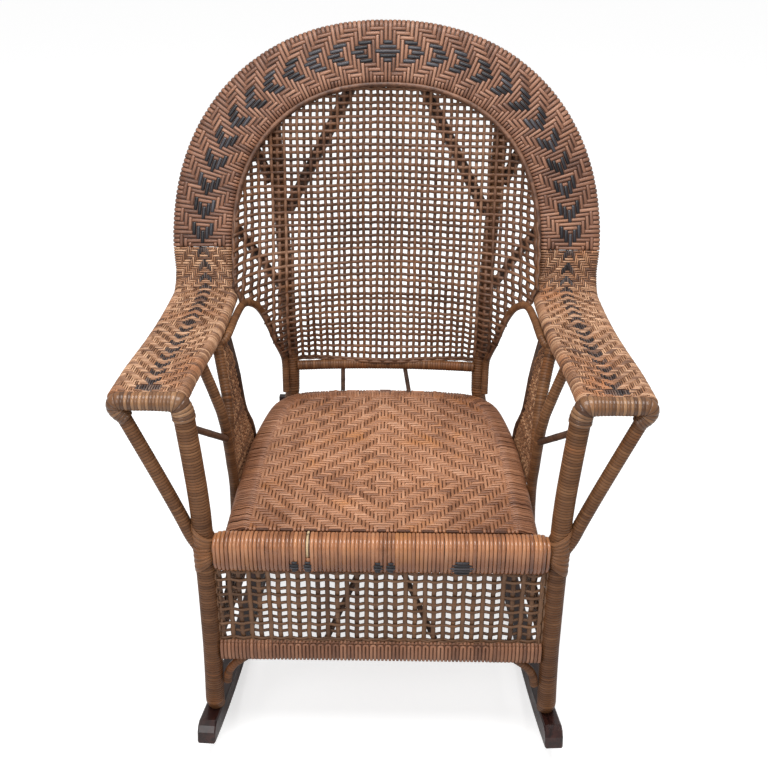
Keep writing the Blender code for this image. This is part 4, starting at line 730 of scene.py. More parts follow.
for node in ("apron_top_rail", "outer_rim_pole", "inner_rim_pole"):
    lay_stick(node, bare_stick)
lay_stick("rim_bead", bead_stick, BEAD_SHARE)
for side in ("left", "right"):
    for node in ("back_spindle_", "small_arm_brace_", "side_panel_stick_", "fan_brace_",
                 "upper_side_brace_", "lower_side_brace_", "apron_brace_"):
        lay_stick(node + side, bare_stick)

# %% [markdown]
# ## One reed and how it is laid
# All woven parts are made of short stretches of reed that come up, run over a few others and
# dip under again. One stretch is modelled from a six-sided bar, cut into rings, with a flatter
# underside. Laying it copies that bar once for each stretch, along a surface that is counted
# in strands: one unit along is one upright strand, one unit across is one row.

# %% Model one stretch of reed

REED_SIDES = 6
SHORT_RINGS, LONG_RINGS = 6, 14


def model_reed(rings):
    """A bar of six sides and the given number of rings, one unit between rings."""
    bpy.ops.object.select_all(action="DESELECT")
    half = (rings - 1) / 2.0
    bpy.ops.mesh.primitive_cylinder_add(vertices=REED_SIDES, radius=0.5, depth=rings - 1.0,
                                        location=(half, 0.0, 0.0), rotation=(0.0, math.pi / 2.0, 0.0))
    bpy.ops.object.transform_apply(location=True, rotation=True, scale=True)
    reed = bpy.context.object
    bpy.ops.object.mode_set(mode="EDIT")
    bpy.ops.mesh.select_all(action="DESELECT")
    work = bmesh.from_edit_mesh(reed.data)
    for edge in work.edges:
        edge.select = abs(edge.verts[0].co.x - edge.verts[1].co.x) > 0.5
    bmesh.update_edit_mesh(reed.data)
    bpy.ops.mesh.subdivide(number_cuts=rings - 2)
    bpy.ops.mesh.select_all(action="DESELECT")
    work = bmesh.from_edit_mesh(reed.data)
    for point in work.verts:
        point.select = point.co.z < -0.01
    bmesh.update_edit_mesh(reed.data)
    bpy.ops.transform.resize(value=(1.0, 1.0, 0.5), center_override=(0.0, 0.0, 0.0))
    bpy.ops.object.mode_set(mode="OBJECT")
    points = np.array([point.co[:] for point in reed.data.vertices])
    faces = [tuple(face.vertices) for face in reed.data.polygons]
    bpy.data.objects.remove(reed)
    return points, faces


short_reed = model_reed(SHORT_RINGS)
long_reed = model_reed(LONG_RINGS)
print("faces in a short reed:", len(short_reed[1]), "and in a long one:", len(long_reed[1]))

# %% Lay stretches of reed on a surface

GRIP = 0.30
DIP_RUN = 0.26
SECTION = 2.0 * math.pi * (np.arange(REED_SIDES) + 0.5) / REED_SIDES


def lay_reeds(stretches, reed, surface, width, thick, dip=0.9, under=0.30, shiver=0.05):
    """Copies of a reed, one for each stretch (first, last, place, goes across, strand).

    first and last are counted along the way the stretch runs, and place on the other way.
    """
    points, faces = reed
    rings = int(round(points[:, 0].max())) + 1
    first, last, place, across, strand = (np.array(column, dtype=float) for column in zip(*stretches))
    count = len(first)
    inner = np.linspace(0.0, 1.0, rings - 4)[None, :]
    grip = np.minimum(GRIP, (last - first) * 0.3)
    middle = (first + grip)[:, None] + (last - first - 2.0 * grip)[:, None] * inner
    run = np.hstack([(first - under)[:, None], (first - under + DIP_RUN)[:, None], middle,
                     (last + under - DIP_RUN)[:, None], (last + under)[:, None]])
    drop = np.zeros((count, rings))
    drop[:, 0] = drop[:, -1] = -dip * thick
    drop[:, 1] = drop[:, -2] = -0.35 * dip * thick
    drop += chance.uniform(-0.06, 0.06, (count, 1)) * thick
    ring = np.rint(points[:, 0]).astype(int)
    size = width * (1.0 + chance.uniform(-shiver, shiver, (count, 1)))
    lean = chance.uniform(-shiver, shiver, (count, 1))
    along = run[:, ring] + chance.uniform(-shiver, shiver, (count, 1))
    beside = place[:, None] + points[None, :, 1] * size + lean * (ring[None, :] / (rings - 1.0) - 0.5) * 2.0
    high = drop[:, ring] + points[None, :, 2] * thick
    turned = across[:, None] > 0.5
    u = np.where(turned, beside, along)
    v = np.where(turned, along, beside)
    places = surface(u.ravel(), v.ravel(), high.ravel())
    side = strand[:, None] + 0.5 + points[None, :, 1] * 0.9
    strand_map = np.stack([along.ravel() * 0.8, side.ravel()], axis=1)
    step = len(points)
    laid = [tuple(corner + step * k for corner in face) for k in range(count) for face in faces]
    return places, laid, strand_map

# %% A dark ground under the reeds, painted shade in their gaps


def ground_layer(surface, u_range, v_range, cells, top, bottom):
    """A closed thin wall under the reeds; its dark finish is painted shade in the gaps between them."""
    us, vs = np.meshgrid(np.linspace(*u_range, cells[0] + 1), np.linspace(*v_range, cells[1] + 1),
                         indexing="ij")
    upper = surface(us.ravel(), vs.ravel(), np.full(us.size, top))
    lower = surface(us.ravel(), vs.ravel(), np.full(us.size, bottom))
    wide, total = cells[1] + 1, us.size
    faces = []
    for i in range(cells[0]):
        for j in range(cells[1]):
            a = i * wide + j
            faces.append((a, a + 1, a + wide + 1, a + wide))
            faces.append((total + a, total + a + wide, total + a + wide + 1, total + a + 1))
    rim = list(range(wide)) + [i * wide + wide - 1 for i in range(1, cells[0] + 1)]
    rim += [cells[0] * wide + j for j in range(wide - 2, -1, -1)]
    rim += [i * wide for i in range(cells[0] - 1, 0, -1)]
    for a, b in zip(rim, rim[1:] + rim[:1]):
        faces.append((a, b, total + b, total + a))
    strand_map = np.stack([np.tile(us.ravel(), 2), np.tile(vs.ravel() * 2.0, 2)], axis=1)
    return np.vstack([upper, lower]), faces, strand_map

# %% Surfaces through a grid of points


def between_cells(values, a, b):
    """Values of a grid at places counted in its cells, mixed from the four corners round each."""
    a = np.clip(a, 0.0, values.shape[0] - 1.001)
    b = np.clip(b, 0.0, values.shape[1] - 1.001)
    i, j = a.astype(int), b.astype(int)
    s, t = a - i, b - j
    if values.ndim == 3:
        s, t = s[:, None], t[:, None]
    near = values[i, j] * (1.0 - t) + values[i, j + 1] * t
    far = values[i + 1, j] * (1.0 - t) + values[i + 1, j + 1] * t
    return near * (1.0 - s) + far * s


def grid_surface(grid):
    """A surface through a grid of points; u and v are distances in metres at its middle."""
    along = travelled(grid[:, grid.shape[1] // 2])
    beside = travelled(grid[grid.shape[0] // 2])
    normal = np.cross(np.gradient(grid, axis=0), np.gradient(grid, axis=1))
    normal = normal / np.linalg.norm(normal, axis=2)[..., None]

    def place(u, v, high):
        a = np.interp(u, along, np.arange(len(along)))
        b = np.interp(v, beside, np.arange(len(beside)))
        return between_cells(grid, a, b) + between_cells(normal, a, b) * high[:, None]

    return place, float(along[-1]), float(beside[-1])


def repeated_section(xs, section):
    """A grid of points with one section in y and z at each x."""
    return np.stack([np.repeat(xs[:, None], len(section), axis=1), np.tile(section[:, 0], (len(xs), 1)),
                     np.tile(section[:, 1], (len(xs), 1))], axis=2)

# %% Lay reeds along any path


def path_of(*columns):
    """A path from along, across and height, each one number or a number for each point."""
    return np.stack(np.broadcast_arrays(*columns), axis=1)


def tube_faces(steps, start=0):
    """The faces of a closed reed, from its rings of points."""
    faces = []
    for first in range(start, start + (steps - 1) * REED_SIDES, REED_SIDES):
        for j in range(REED_SIDES):
            near = (j + 1) % REED_SIDES
            faces.append((first + j, first + near, first + REED_SIDES + near, first + REED_SIDES + j))
    last = start + (steps - 1) * REED_SIDES
    return faces + [tuple(range(start, start + REED_SIDES)), tuple(range(last, last + REED_SIDES))]


def lay_paths(paths, surface, width, thick):
    """Reeds that follow any path of (along, across, height) on a surface in metres."""
    start = 0
    places, faces, maps = [], [], []
    for strand, path in enumerate(paths):
        steps = len(path)
        run = np.gradient(path[:, :2], axis=0)
        run = run / np.maximum(np.linalg.norm(run, axis=1)[:, None], 1e-9)
        square = np.stack([-run[:, 1], run[:, 0]], axis=1)
        size = width * (1.0 + chance.uniform(-0.06, 0.06))
        beside = 0.5 * size * np.cos(SECTION)
        u = path[:, None, 0] + square[:, None, 0] * beside
        v = path[:, None, 1] + square[:, None, 1] * beside
        high = path[:, None, 2] + 0.5 * thick * np.sin(SECTION)
        places.append(surface(u.ravel(), v.ravel(), high.ravel()))
        faces += tube_faces(steps, start)
        far = travelled(path[:, :2]) * 120.0
        side = strand + 0.5 + 0.45 * np.cos(SECTION)
        maps.append(np.stack([np.repeat(far, REED_SIDES), np.tile(side, steps)], axis=1))
        start += steps * REED_SIDES
    return np.vstack(places), faces, np.vstack(maps)

# %% Join the layers of a piece


def woven_piece(name, layers):
    """One piece from several layers of laid reeds (places, faces, map, finish number)."""
    start = 0
    places, faces, maps, marks = [], [], [], []
    for place, face, strand_map, mark in layers:
        places.append(place)
        faces += [tuple(corner + start for corner in one) for one in face]
        maps.append(strand_map)
        marks += [mark] * len(face)
        start += len(place)
    mesh = bpy.data.meshes.new(name)
    mesh.from_pydata(np.vstack(places).tolist(), [], faces)
    write_strand_map(mesh, np.vstack(maps))
    mesh.polygons.foreach_set("material_index", np.array(marks, dtype=np.int32))
    shape = bmesh.new()
    shape.from_mesh(mesh)
    bmesh.ops.recalc_face_normals(shape, faces=shape.faces)
    shape.to_mesh(mesh)
    shape.free()
    mesh.polygons.foreach_set("use_smooth", np.ones(len(mesh.polygons), dtype=bool))
    piece = bpy.data.objects.new(name, mesh)
    bpy.context.scene.collection.objects.link(piece)
    return piece


def runs(flags):
    """Start and end of each unbroken run of true flags."""
    result = []
    start = None
    for k, flag in enumerate(list(flags) + [False]):
        if flag and start is None:
            start = k
        if not flag and start is not None:
            result.append((start, k))
            start = None
    return result

# %% [markdown]
# ## The woven arms and rim
# Two poles run from the front of one arm, round the top of the back, to the front of the
# other arm. Reeds lie over both poles, and rows of weavers run along the band between them.
# The weave goes over three and under three and steps by one strand on each row. It turns
# back at the middle row, which draws arrows along the band, and the middle rows are dyed
# black. The arms' reeds are finer than the rim's, worn through at a few places, and turn round
# the band at its free end. The two rim poles in the frame give the band's middle, its width
# and its tilt.

# %% Measure the band from its two poles

BAND_HALF_THICK = 0.0125
BAND_LEAD = 0.0070


def rim_line(node):
    """A rim pole's line from the right arm's front to the left arm's, a little longer than the pole."""
    points, _ = pole_line(node)
    if points[0][0] < 0.0:
        points = points[::-1]
    return through_points(extended(points, BAND_LEAD, BAND_LEAD), 10)


outer_dense, inner_dense = rim_line("outer_rim_pole"), rim_line("inner_rim_pole")
band_middle = (outer_dense + inner_dense) / 2.0
band_far = travelled(band_middle)
band_across = outer_dense - inner_dense
band_flat = np.linalg.norm(band_across, axis=1) / 2.0
band_across = band_across / (2.0 * band_flat[:, None])
band_along = np.gradient(band_middle, axis=0)
band_along = band_along / np.linalg.norm(band_along, axis=1)[:, None]
band_up = np.cross(band_across, band_along)
band_up = band_up / np.linalg.norm(band_up, axis=1)[:, None]
print("band length:", round(float(band_far[-1]), 3), "half flat:", band_flat.min().round(4),
      band_flat.max().round(4))


def on_band(far, turn, high):
    """A place on the band: distance along it, turn round its section, height over it.

    The turn is 0 in the middle of the face, 1 where the edge starts to curve, 2 where the
    underside starts and 3 in its middle. It is negative towards the inner edge.
    """
    side = np.sign(turn)
    way = np.abs(turn)
    flat = np.interp(far, band_far, band_flat)
    angle = np.clip(way - 1.0, 0.0, 1.0) * math.pi
    reach = np.where(way <= 1.0, way, np.where(way >= 2.0, 3.0 - way, 1.0)) * flat
    radius = BAND_HALF_THICK + high
    out = reach + radius * np.sin(angle)
    up = radius * np.cos(angle)
    place, wide, lift = (points_at(far, band_far, values) for values in (band_middle, band_across, band_up))
    return place + wide * (side * out)[:, None] + lift * up[:, None]

# %% Wind the curved poles beside the back

EDGE_POLE_LEAD = 0.085
EDGE_POLE_TURN = -1.66
EDGE_POLE_HOLD = 0.014
EDGE_POLE_TAIL = 0.034
EDGE_POLE_SHARE = 1.12


def edge_pole_line(side):
    """The line of a curved pole, from under the arm, along its inner edge, down the back."""
    line, sizes = pole_line("back_edge_pole_" + side)
    if line[0][2] < line[-1][2]:
        line = line[::-1]
    size = float(np.median(sizes))
    near = int(np.argmin(np.linalg.norm(band_middle - line[0], axis=1)))
    way = -1.0 if side == "right" else 1.0
    far = band_far[near] + way * np.linspace(EDGE_POLE_LEAD, -EDGE_POLE_HOLD, 9)
    turn = EDGE_POLE_TURN + 0.0 * far
    turn[:3] = EDGE_POLE_TURN - np.array((0.9, 0.5, 0.15))
    lead = on_band(far, turn, np.full(len(far), size + 0.0004))
    rest = line[np.linalg.norm(line - lead[-1], axis=1) > 0.020]
    crown = int(np.argmax(rest[:, 2]))
    return through_points(np.vstack([lead, rest[crown:]]), 4), size


for side in ("left", "right"):
    line, size = edge_pole_line(side)
    wind("back_edge_pole_" + side, line, np.full(len(line), size * EDGE_POLE_SHARE), pole_cane,
         end=EDGE_POLE_TAIL)
    print("edge pole", side, "length", round(float(travelled(line)[-1]), 3))

# %% Weave one stretch of the band

BAND_REED = (0.84, 0.0027)
EDGE_REED = (0.88, 0.0024)
BAND_SINK = 0.0012
BAND_GROUND = (-0.0016, -0.0036)
END_LOOP_HEIGHTS = (-0.0032, -0.0068, -0.0102)
END_LOOP_REED = (0.0038, 0.0044)
END_LOOP_STEPS = 61


def weave_band(name, node, start, end, pitch, rows, floats, black_rows, finish, dye, slots=(), patch=None,
               cap=None, shiver=0.05):
    """Weave both faces and both edges of the band between two distances along it.

    Each slot is (distance from the start, first row, last row) where the reeds have broken away.
    The patch (distance from the start, length, first row, last row) is a block of black strands.
    The cap is the distance from the start of the reeds that close a free end.
    """
    count = int(round((end - start) / pitch / 2.0)) * 2
    pitch = (end - start) / count
    middle = (rows - 1) / 2.0
    period = 2 * floats
    top = np.zeros((count, rows), dtype=bool)
    for i in range(count):
        from_top = abs(i + 0.5 - count / 2.0) - 0.5
        for j in range(rows):
            top[i, j] = (from_top + abs(j - middle)) % period < floats
    broken = np.zeros((count, rows), dtype=bool)
    for away, low_row, high_row in slots:
        broken[int(away / pitch), low_row:high_row] = True
    edge = math.pi * BAND_HALF_THICK / (2.0 * float(band_flat.mean()) / rows)
    covered = np.zeros((count, rows), dtype=bool)
    if patch:
        patch_start, patch_end = patch[0] / pitch, (patch[0] + patch[1]) / pitch
        covered[int(round(patch_start)):int(round(patch_end)), patch[2]:patch[3]] = True

    def surface(face):
        def place(u, v, high):
            inside = 1.0 - 2.0 * np.clip(v, 0.0, rows) / rows
            over = np.maximum(-v, 0.0) / edge
            past = np.maximum(v - rows, 0.0) / edge
            turn = np.where(v < 0.0, 1.0 + over, np.where(v > rows, -1.0 - past, inside))
            if face < 0:
                turn = np.sign(turn) * (3.0 - np.abs(turn))
                turn = np.where(turn == 0.0, 3.0, turn)
            return on_band(start + u * pitch, turn, high - BAND_SINK)
        return place

    layers, edges = [], []
    strand = 0
    for face in (1, -1):
        plain, dyed = [], []
        for j in range(rows):
            strand += 1
            if patch and face > 0 and patch[2] <= j < patch[3]:
                dyed.append((patch_start + 0.2, patch_end - 0.2, j + 0.5, 0, strand * 40))
            for first, last in runs(top[:, j] & ~((broken[:, j] | covered[:, j]) & (face > 0))):
                target = dyed if abs(j - middle) < black_rows / 2.0 else plain
                target.append((max(first, 0.3), min(last, count - 0.3), j + 0.5, 0, strand * 40 + first))
        for i in range(count):
            for first, last in runs(~top[i] & ~((broken[i] | covered[i]) & (face > 0))):
                if first > 0 and last < rows:
                    plain.append((first, last, i + 0.5, 1, 5000 + i))
        for group, mark in ((plain, 0), (dyed, 1)):
            if group:
                layers.append((*lay_reeds(group, short_reed, surface(face), *BAND_REED, shiver=shiver), mark))
    for i in range(count):
        free = runs(~top[i])
        lead = free[0][1] if free and free[0][0] == 0 else 0
        tail = rows - free[-1][0] if free and free[-1][1] == rows else 0
        if lead < rows:
            edges.append((-edge - lead, lead, i + 0.5, 1, 9000 + i))
            edges.append((rows - tail, rows + edge + tail, i + 0.5, 1, 9000 + i))
    layers.append((*lay_reeds(edges, long_reed, surface(1), *EDGE_REED), 0))

    def whole(u, v, high):
        return on_band(start + u, v, high)

    # A dark ground inside the band: painted shade in the gaps between its reeds.
    layers.append((*ground_layer(whole, (0.0015, end - start - 0.0015), (-3.0, 3.0), (count, 36),
                                 *BAND_GROUND), 2))
    if cap is not None:
        around = np.linspace(-3.0, 3.0, END_LOOP_STEPS)
        loops = [path_of(cap, around, high) for high in END_LOOP_HEIGHTS]
        layers.append((*lay_paths(loops, whole, *END_LOOP_REED), 0))
    piece = woven_piece(name, layers)
    print(name, "strands along:", count, "triangles:", triangles(piece))
    return dress(piece, (finish, dye, painted_groove_shade), "woven_cane", node)


def arm_end(side):
    """The distance along the band where it passes the rear end of an arm."""
    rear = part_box("arm_band_" + side)[1][1]
    sign = 1.0 if side == "right" else -1.0
    near = np.flatnonzero(sign * band_middle[:, 0] > 0.0)
    return float(band_far[near[np.argmin(np.abs(band_middle[near, 1] - rear))]])


arm_end_right, arm_end_left = arm_end("right"), arm_end("left")
print("right arm ends at", round(arm_end_right, 3), "left arm starts at", round(arm_end_left, 3))

# %% Weave the two arms and the rim

RIM_PITCH, RIM_ROWS, RIM_FLOATS, RIM_BLACK_ROWS = 0.0066, 11, 3, 5
ARM_PITCH, ARM_ROWS, ARM_FLOATS, ARM_BLACK_ROWS = 0.0042, 24, 3, 6
ARM_SHIVER = 0.16
ARM_CAP = 0.0012
ARM_SLOTS = ((0.0205, 7, 18), (0.108, 8, 16), (0.262, 9, 17))
PATCH_START, PATCH_LENGTH = 0.0050, 0.0135
PATCH_ROWS = (7, 17)
band_end = float(band_far[-1])


def weave_arm(side):
    """An arm's stretch of the band; the left one counts its places from the other end."""
    start, end = (0.0, arm_end_right) if side == "right" else (arm_end_left, band_end)
    length = end - start
    slots, patch_start, cap = ARM_SLOTS, PATCH_START, ARM_CAP
    if side == "left":
        slots = [(length - away, first, last) for away, first, last in ARM_SLOTS]
        patch_start, cap = length - PATCH_START - PATCH_LENGTH, length - ARM_CAP
    weave_band("woven_arm_" + side, "arm_band_" + side, start, end, ARM_PITCH, ARM_ROWS, ARM_FLOATS,
               ARM_BLACK_ROWS, arm_reed, worn_black_reed, slots, (patch_start, PATCH_LENGTH, *PATCH_ROWS),
               cap, ARM_SHIVER)


weave_arm("right")
weave_band("woven_rim", "back_rim_band", arm_end_right, arm_end_left, RIM_PITCH, RIM_ROWS, RIM_FLOATS,
           RIM_BLACK_ROWS, rim_reed, black_reed)
weave_arm("left")

# %% [markdown]
# ## Sheets measured from the frame
# The seat, the back and the side panels are woven sheets. The frame holds each as a thin
# solid or a coarse net. A smooth surface is fitted to the solid's points, so the fine weave
# can be laid on it, and the solid's outline says how far each strand runs.

# %% Fit a smooth sheet

SLOPE_STEP = 0.002


def fit_sheet(node, axis, order=4, more=None):
    """A smooth surface through a node's points, and more points if given, along one axis."""
    shape = merged_copy(node)
    points = np.array([corner.co[:] for corner in shape.verts])
    shape.free()
    if more is not None:
        points = np.vstack([points, more])
    others = [k for k in range(3) if k != axis]
    centre = points[:, others].mean(axis=0)
    scale = np.abs(points[:, others] - centre).max(axis=0)

    def terms(a, b):
        a = (a - centre[0]) / scale[0]
        b = (b - centre[1]) / scale[1]
        return np.stack([a ** i * b ** j for i in range(order + 1) for j in range(order + 1 - i)], axis=-1)

    a, b = points[:, others].T
    solved, *_ = np.linalg.lstsq(terms(a, b), points[:, axis], rcond=None)

    def height(a, b):
        return terms(a, b) @ solved

    off = np.abs(height(a, b) - points[:, axis])
    print(node, "fitted, furthest point off:", off.max().round(4))
    return height, points


def sheet_place(height, axis, a, b, high):
    """Points on a fitted sheet, raised square to it."""
    step = SLOPE_STEP
    slope_a = (height(a + step, b) - height(a - step, b)) / (2.0 * step)
    slope_b = (height(a, b + step) - height(a, b - step)) / (2.0 * step)
    size = np.sqrt(1.0 + slope_a ** 2 + slope_b ** 2)
    others = [k for k in range(3) if k != axis]
    places = np.empty((len(a), 3))
    places[:, axis] = height(a, b) + high / size
    places[:, others[0]] = a - slope_a * high / size
    places[:, others[1]] = b - slope_b * high / size
    return places

# %% [markdown]
# ## Open lattice
# The back and the aprons are open plain weave: each strand goes over one and under the next.
# A whole strand is one long reed that waves up and down, half a step out of time with its
# neighbours. Its ends stop where the panel's outline crosses it.

# %% Lay whole waving strands

WAVE_SHARE = 0.55
BORDER_REED = 0.0044


def waving_strands(ways, surface, width, thick):
    """Long strands (first, last, place, goes across, strand) that wave over the crossings."""
    layers = []
    for first, last, place, across, strand in ways:
        crossings = max(1, int(round(last - first)))
        steps = crossings * 3 + 1
        along = np.linspace(first, last, steps)
        phase = 1.0 if (int(round(place)) + (1 if across else 0)) % 2 else -1.0
        rise = phase * (thick * WAVE_SHARE) * np.sin(math.pi * along)
        drift = np.cumsum(chance.normal(0.0, 0.012, steps))
        drift = drift - np.linspace(drift[0], drift[-1], steps)
        beside = (place + drift)[:, None] + 0.5 * width * np.cos(SECTION)[None, :]
        high = rise[:, None] + 0.5 * thick * np.sin(SECTION)[None, :]
        far = np.repeat(along[:, None], REED_SIDES, axis=1)
        u, v = (beside, far) if across else (far, beside)
        places = surface(u.ravel(), v.ravel(), high.ravel())
        side = np.tile(strand + 0.5 + 0.45 * np.cos(SECTION), steps)
        layers.append((places, tube_faces(steps), np.stack([far.ravel() * 0.6, side], axis=1), 0))
    return layers

# %% How far the strands reach


def hull(points):
    """The outermost points of a flat cloud, in order round it."""
    ordered = sorted(map(tuple, points))

    def half(sequence):
        chain = []
        for point in sequence:
            while len(chain) > 1 and ((chain[-1][0] - chain[-2][0]) * (point[1] - chain[-2][1])
                                      - (chain[-1][1] - chain[-2][1]) * (point[0] - chain[-2][0])) <= 0.0:
                chain.pop()
            chain.append(point)
        return chain[:-1]

    return np.array(half(ordered) + half(ordered[::-1]))


def outline_span(outline, axis, level):
    """Where a closed outline crosses one level: its lowest and highest crossing."""
    first, second = outline, np.roll(outline, -1, axis=0)
    cut = (first[:, axis] - level) * (second[:, axis] - level) < 0.0
    if cut.sum() < 2:
        return None
    share = (level - first[cut, axis]) / (second[cut, axis] - first[cut, axis])
    other = 1 - axis
    values = first[cut, other] + (second[cut, other] - first[cut, other]) * share
    return float(values.min()), float(values.max())

# %% Weave one open lattice


def weave_lattice(name, node, axis, pitches, reeds, thick, finish, outline=None, more=None, order=4,
                  border=2):
    """An open lattice on a fitted sheet, as far as the outline (by default the node's own)."""
    height, points = fit_sheet(node, axis, order, more)
    others = [k for k in range(3) if k != axis]
    if outline is None:
        outline = hull(points[:, others])
    low, high = outline.min(axis=0), outline.max(axis=0)
    reed_a, reed_b = reeds
    count_a, count_b = (max(2, int(round((high[k] - low[k]) / pitches[k]))) for k in (0, 1))
    pitch_a, pitch_b = (high[0] - low[0]) / count_a, (high[1] - low[1]) / count_b

    def surface(u, v, rise):
        return sheet_place(height, axis, low[0] + u * pitch_a, low[1] + v * pitch_b, rise)

    ways_a, ways_b = [], []
    for k in range(count_b):
        span = outline_span(outline, 1, low[1] + (k + 0.5) * pitch_b)
        if span and span[1] - span[0] > pitch_a:
            ways_a.append(((span[0] - low[0]) / pitch_a, (span[1] - low[0]) / pitch_a, k + 0.5, 0, 100 + k))
    for k in range(count_a):
        span = outline_span(outline, 0, low[0] + (k + 0.5) * pitch_a)
        if span and span[1] - span[0] > pitch_b:
            ways_b.append(((span[0] - low[1]) / pitch_b, (span[1] - low[1]) / pitch_b, k + 0.5, 1, 400 + k))
    layers = waving_strands(ways_a, surface, reed_a / pitch_b, thick)
    layers += waving_strands(ways_b, surface, reed_b / pitch_a, thick)

    def measured(u, v, rise):
        return sheet_place(height, axis, u, v, rise)

    loop = np.vstack([outline, outline[:1]])
    loop = even_line(np.hstack([loop, np.zeros((len(loop), 1))]), 0.006)
    middle = outline.mean(axis=0)
    for k in range(border):
        inward = middle - loop[:, :2]
        inward = inward / np.linalg.norm(inward, axis=1)[:, None]
        path = loop.copy()
        path[:, :2] += inward * (0.0012 + 0.0042 * k)
        path[:, 2] = thick * 0.5 * np.sin(np.arange(len(path)) * math.pi / 2.0 + k * math.pi)
        layers.append((*lay_paths([path], measured, BORDER_REED, thick * 1.2), 0))
    piece = woven_piece(name, layers)
    print(name, "strands:", len(ways_a), "by", len(ways_b), "triangles:", triangles(piece))
    return dress(piece, [finish], "woven_cane", node)

# %% The openings of the back and the aprons

EDGE_ARCH_HEIGHT = 0.600
RAIL_TOP = 0.007


def back_outline():
    """The opening of the back, between rim, edge poles and bottom rail, and points on its border."""
    inner = inner_dense - band_across * (BAND_HALF_THICK + 0.001)
    rim = inner[(band_far > arm_end_right - 0.05) & (band_far < arm_end_left + 0.05)]
    rim = rim[rim[:, 2] > EDGE_ARCH_HEIGHT + 0.012]
    poles = {}
    for side in ("right", "left"):
        line, _ = pole_line("back_edge_pole_" + side)
        line = even_line(through_points(line, 6), 0.010)
        crown = int(np.argmax(line[:, 2]))
        line = line[crown:] if line[0][2] > line[-1][2] else line[:crown + 1][::-1]
        poles[side] = line[::-1]
    rail, _ = pole_line("back_bottom_rail")
    bottom = float(rail[:, 2].mean()) + RAIL_TOP
    left, right = poles["left"], poles["right"]
    left, right = left[left[:, 2] > bottom], right[right[:, 2] > bottom]
    corners = np.array([[left[0][0], left[0][1], bottom], [right[0][0], right[0][1], bottom]])
    loop = np.vstack([corners, right, rim, left[::-1]])
    border = np.vstack([left, right, left, right, rail, rail, rail]) + np.array([0.0, 0.003, 0.0])
    return loop[:, [0, 2]], border


def apron_outline():
    """The opening below the seat's front, from post to post and from rail to roll."""
    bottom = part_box("lower_rail_front")[1][2] - 0.003
    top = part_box("seat_front_roll")[0][2] + 0.008
    reaches = []
    for level in (bottom, top):
        middle, size = post_at("front_post_right", level)
        reaches.append(middle[0] - size * 0.85)
    return np.array([(-reaches[0], bottom), (reaches[0], bottom), (reaches[1], top), (-reaches[1], top)])


def side_outline(side):
    """The opening at one side, from front post to rear post, and its four corners."""
    low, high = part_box("side_apron_" + side)
    corners = []
    for node, way in (("front_post_", 1.0), ("rear_post_", -1.0)):
        for level in (low[2], high[2]):
            middle, size = post_at(node + side, level)
            corners.append((middle[0], middle[1] + way * size * 0.8, level))
    corners = np.array(corners)[[0, 2, 3, 1]]
    return corners[:, 1:], np.vstack([corners, corners])

# %% Weave the back, the aprons and the side panels

BACK_PITCHES, BACK_REEDS, BACK_THICK = (0.0111, 0.0111), (0.0060, 0.0060), 0.0028
APRON_PITCHES, APRON_REEDS, APRON_THICK = (0.0142, 0.0136), (0.0056, 0.0080), 0.0028
SIDE_APRON_THICK = 0.0024
PANEL_PITCHES, PANEL_REEDS, PANEL_THICK = (0.0056, 0.0080), (0.0044, 0.0048), 0.0026
back_loop, back_border = back_outline()
weave_lattice("woven_back", "back_panel", 1, BACK_PITCHES, BACK_REEDS, BACK_THICK, net_reed, back_loop,
              back_border, order=6, border=1)
weave_lattice("woven_front_apron", "front_apron_panel", 1, APRON_PITCHES, APRON_REEDS, APRON_THICK,
              apron_reed, apron_outline())
for side in ("left", "right"):
    side_loop, side_corners = side_outline(side)
    weave_lattice("woven_side_apron_" + side, "side_apron_" + side, 0, APRON_PITCHES, APRON_REEDS,
                  SIDE_APRON_THICK, apron_reed, side_loop, side_corners, border=1)
    weave_lattice("woven_side_panel_" + side, "side_panel_" + side, 0, PANEL_PITCHES, PANEL_REEDS,
                  PANEL_THICK, panel_reed)

# %% [markdown]
# ## The woven seat
# The seat is a close twill. Each row runs over three upright strands and under three, and
# the step turns back at the middle row and the middle strand, so the pattern grows as
# diamonds inside diamonds. At the sides and the back the strands turn over the hoop. The
# weave on the underside is a piece of its own.

# %% Measure the seat

SEAT_PITCH_X = 0.0058
SEAT_PITCH_Y = 0.0066
WRAP_PITCH = 0.0052
SEAT_CENTRE = 0.30
RAY_STEP = 0.006


def sampled_sheet(node, step):
    """The upper surface of a node, found by dropping rays on it in a fine grid."""
    shape = merged_copy(node)
    rays = BVHTree.FromBMesh(shape)
    shape.free()
    low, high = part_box(node)
    xs = np.arange(low[0] - step, high[0] + 2.0 * step, step)
    ys = np.arange(low[1] - step, high[1] + 2.0 * step, step)
    heights = np.full((len(xs), len(ys)), np.nan)
    for i, x in enumerate(xs):
        for j, y in enumerate(ys):
            hit = rays.ray_cast(Vector((x, y, high[2] + 0.05)), Vector((0.0, 0.0, -1.0)))[0]
            if hit is not None:
                heights[i, j] = hit.z
    known = np.argwhere(~np.isnan(heights))
    for i, j in np.argwhere(np.isnan(heights)):
        near = known[np.argmin(((known - (i, j)) ** 2).sum(axis=1))]
        heights[i, j] = heights[near[0], near[1]]

    def height(x, y):
        return between_cells(heights, (x - xs[0]) / step, (y - ys[0]) / step)

    return height


seat_height = sampled_sheet("seat_panel", RAY_STEP)
hoop_line, hoop_sizes = pole_line("seat_hoop")
hoop_size = float(np.median(hoop_sizes))
print("hoop ends:", hoop_line[0].round(3), hoop_line[-1].round(3))
hoop_line = even_line(through_points(hoop_line, 6), 0.006)
seat_low, seat_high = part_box("seat_panel")
print("seat box:", [round(v, 3) for v in (*seat_low, *seat_high)], "hoop radius:", round(hoop_size, 4))

# %% Weave the seat

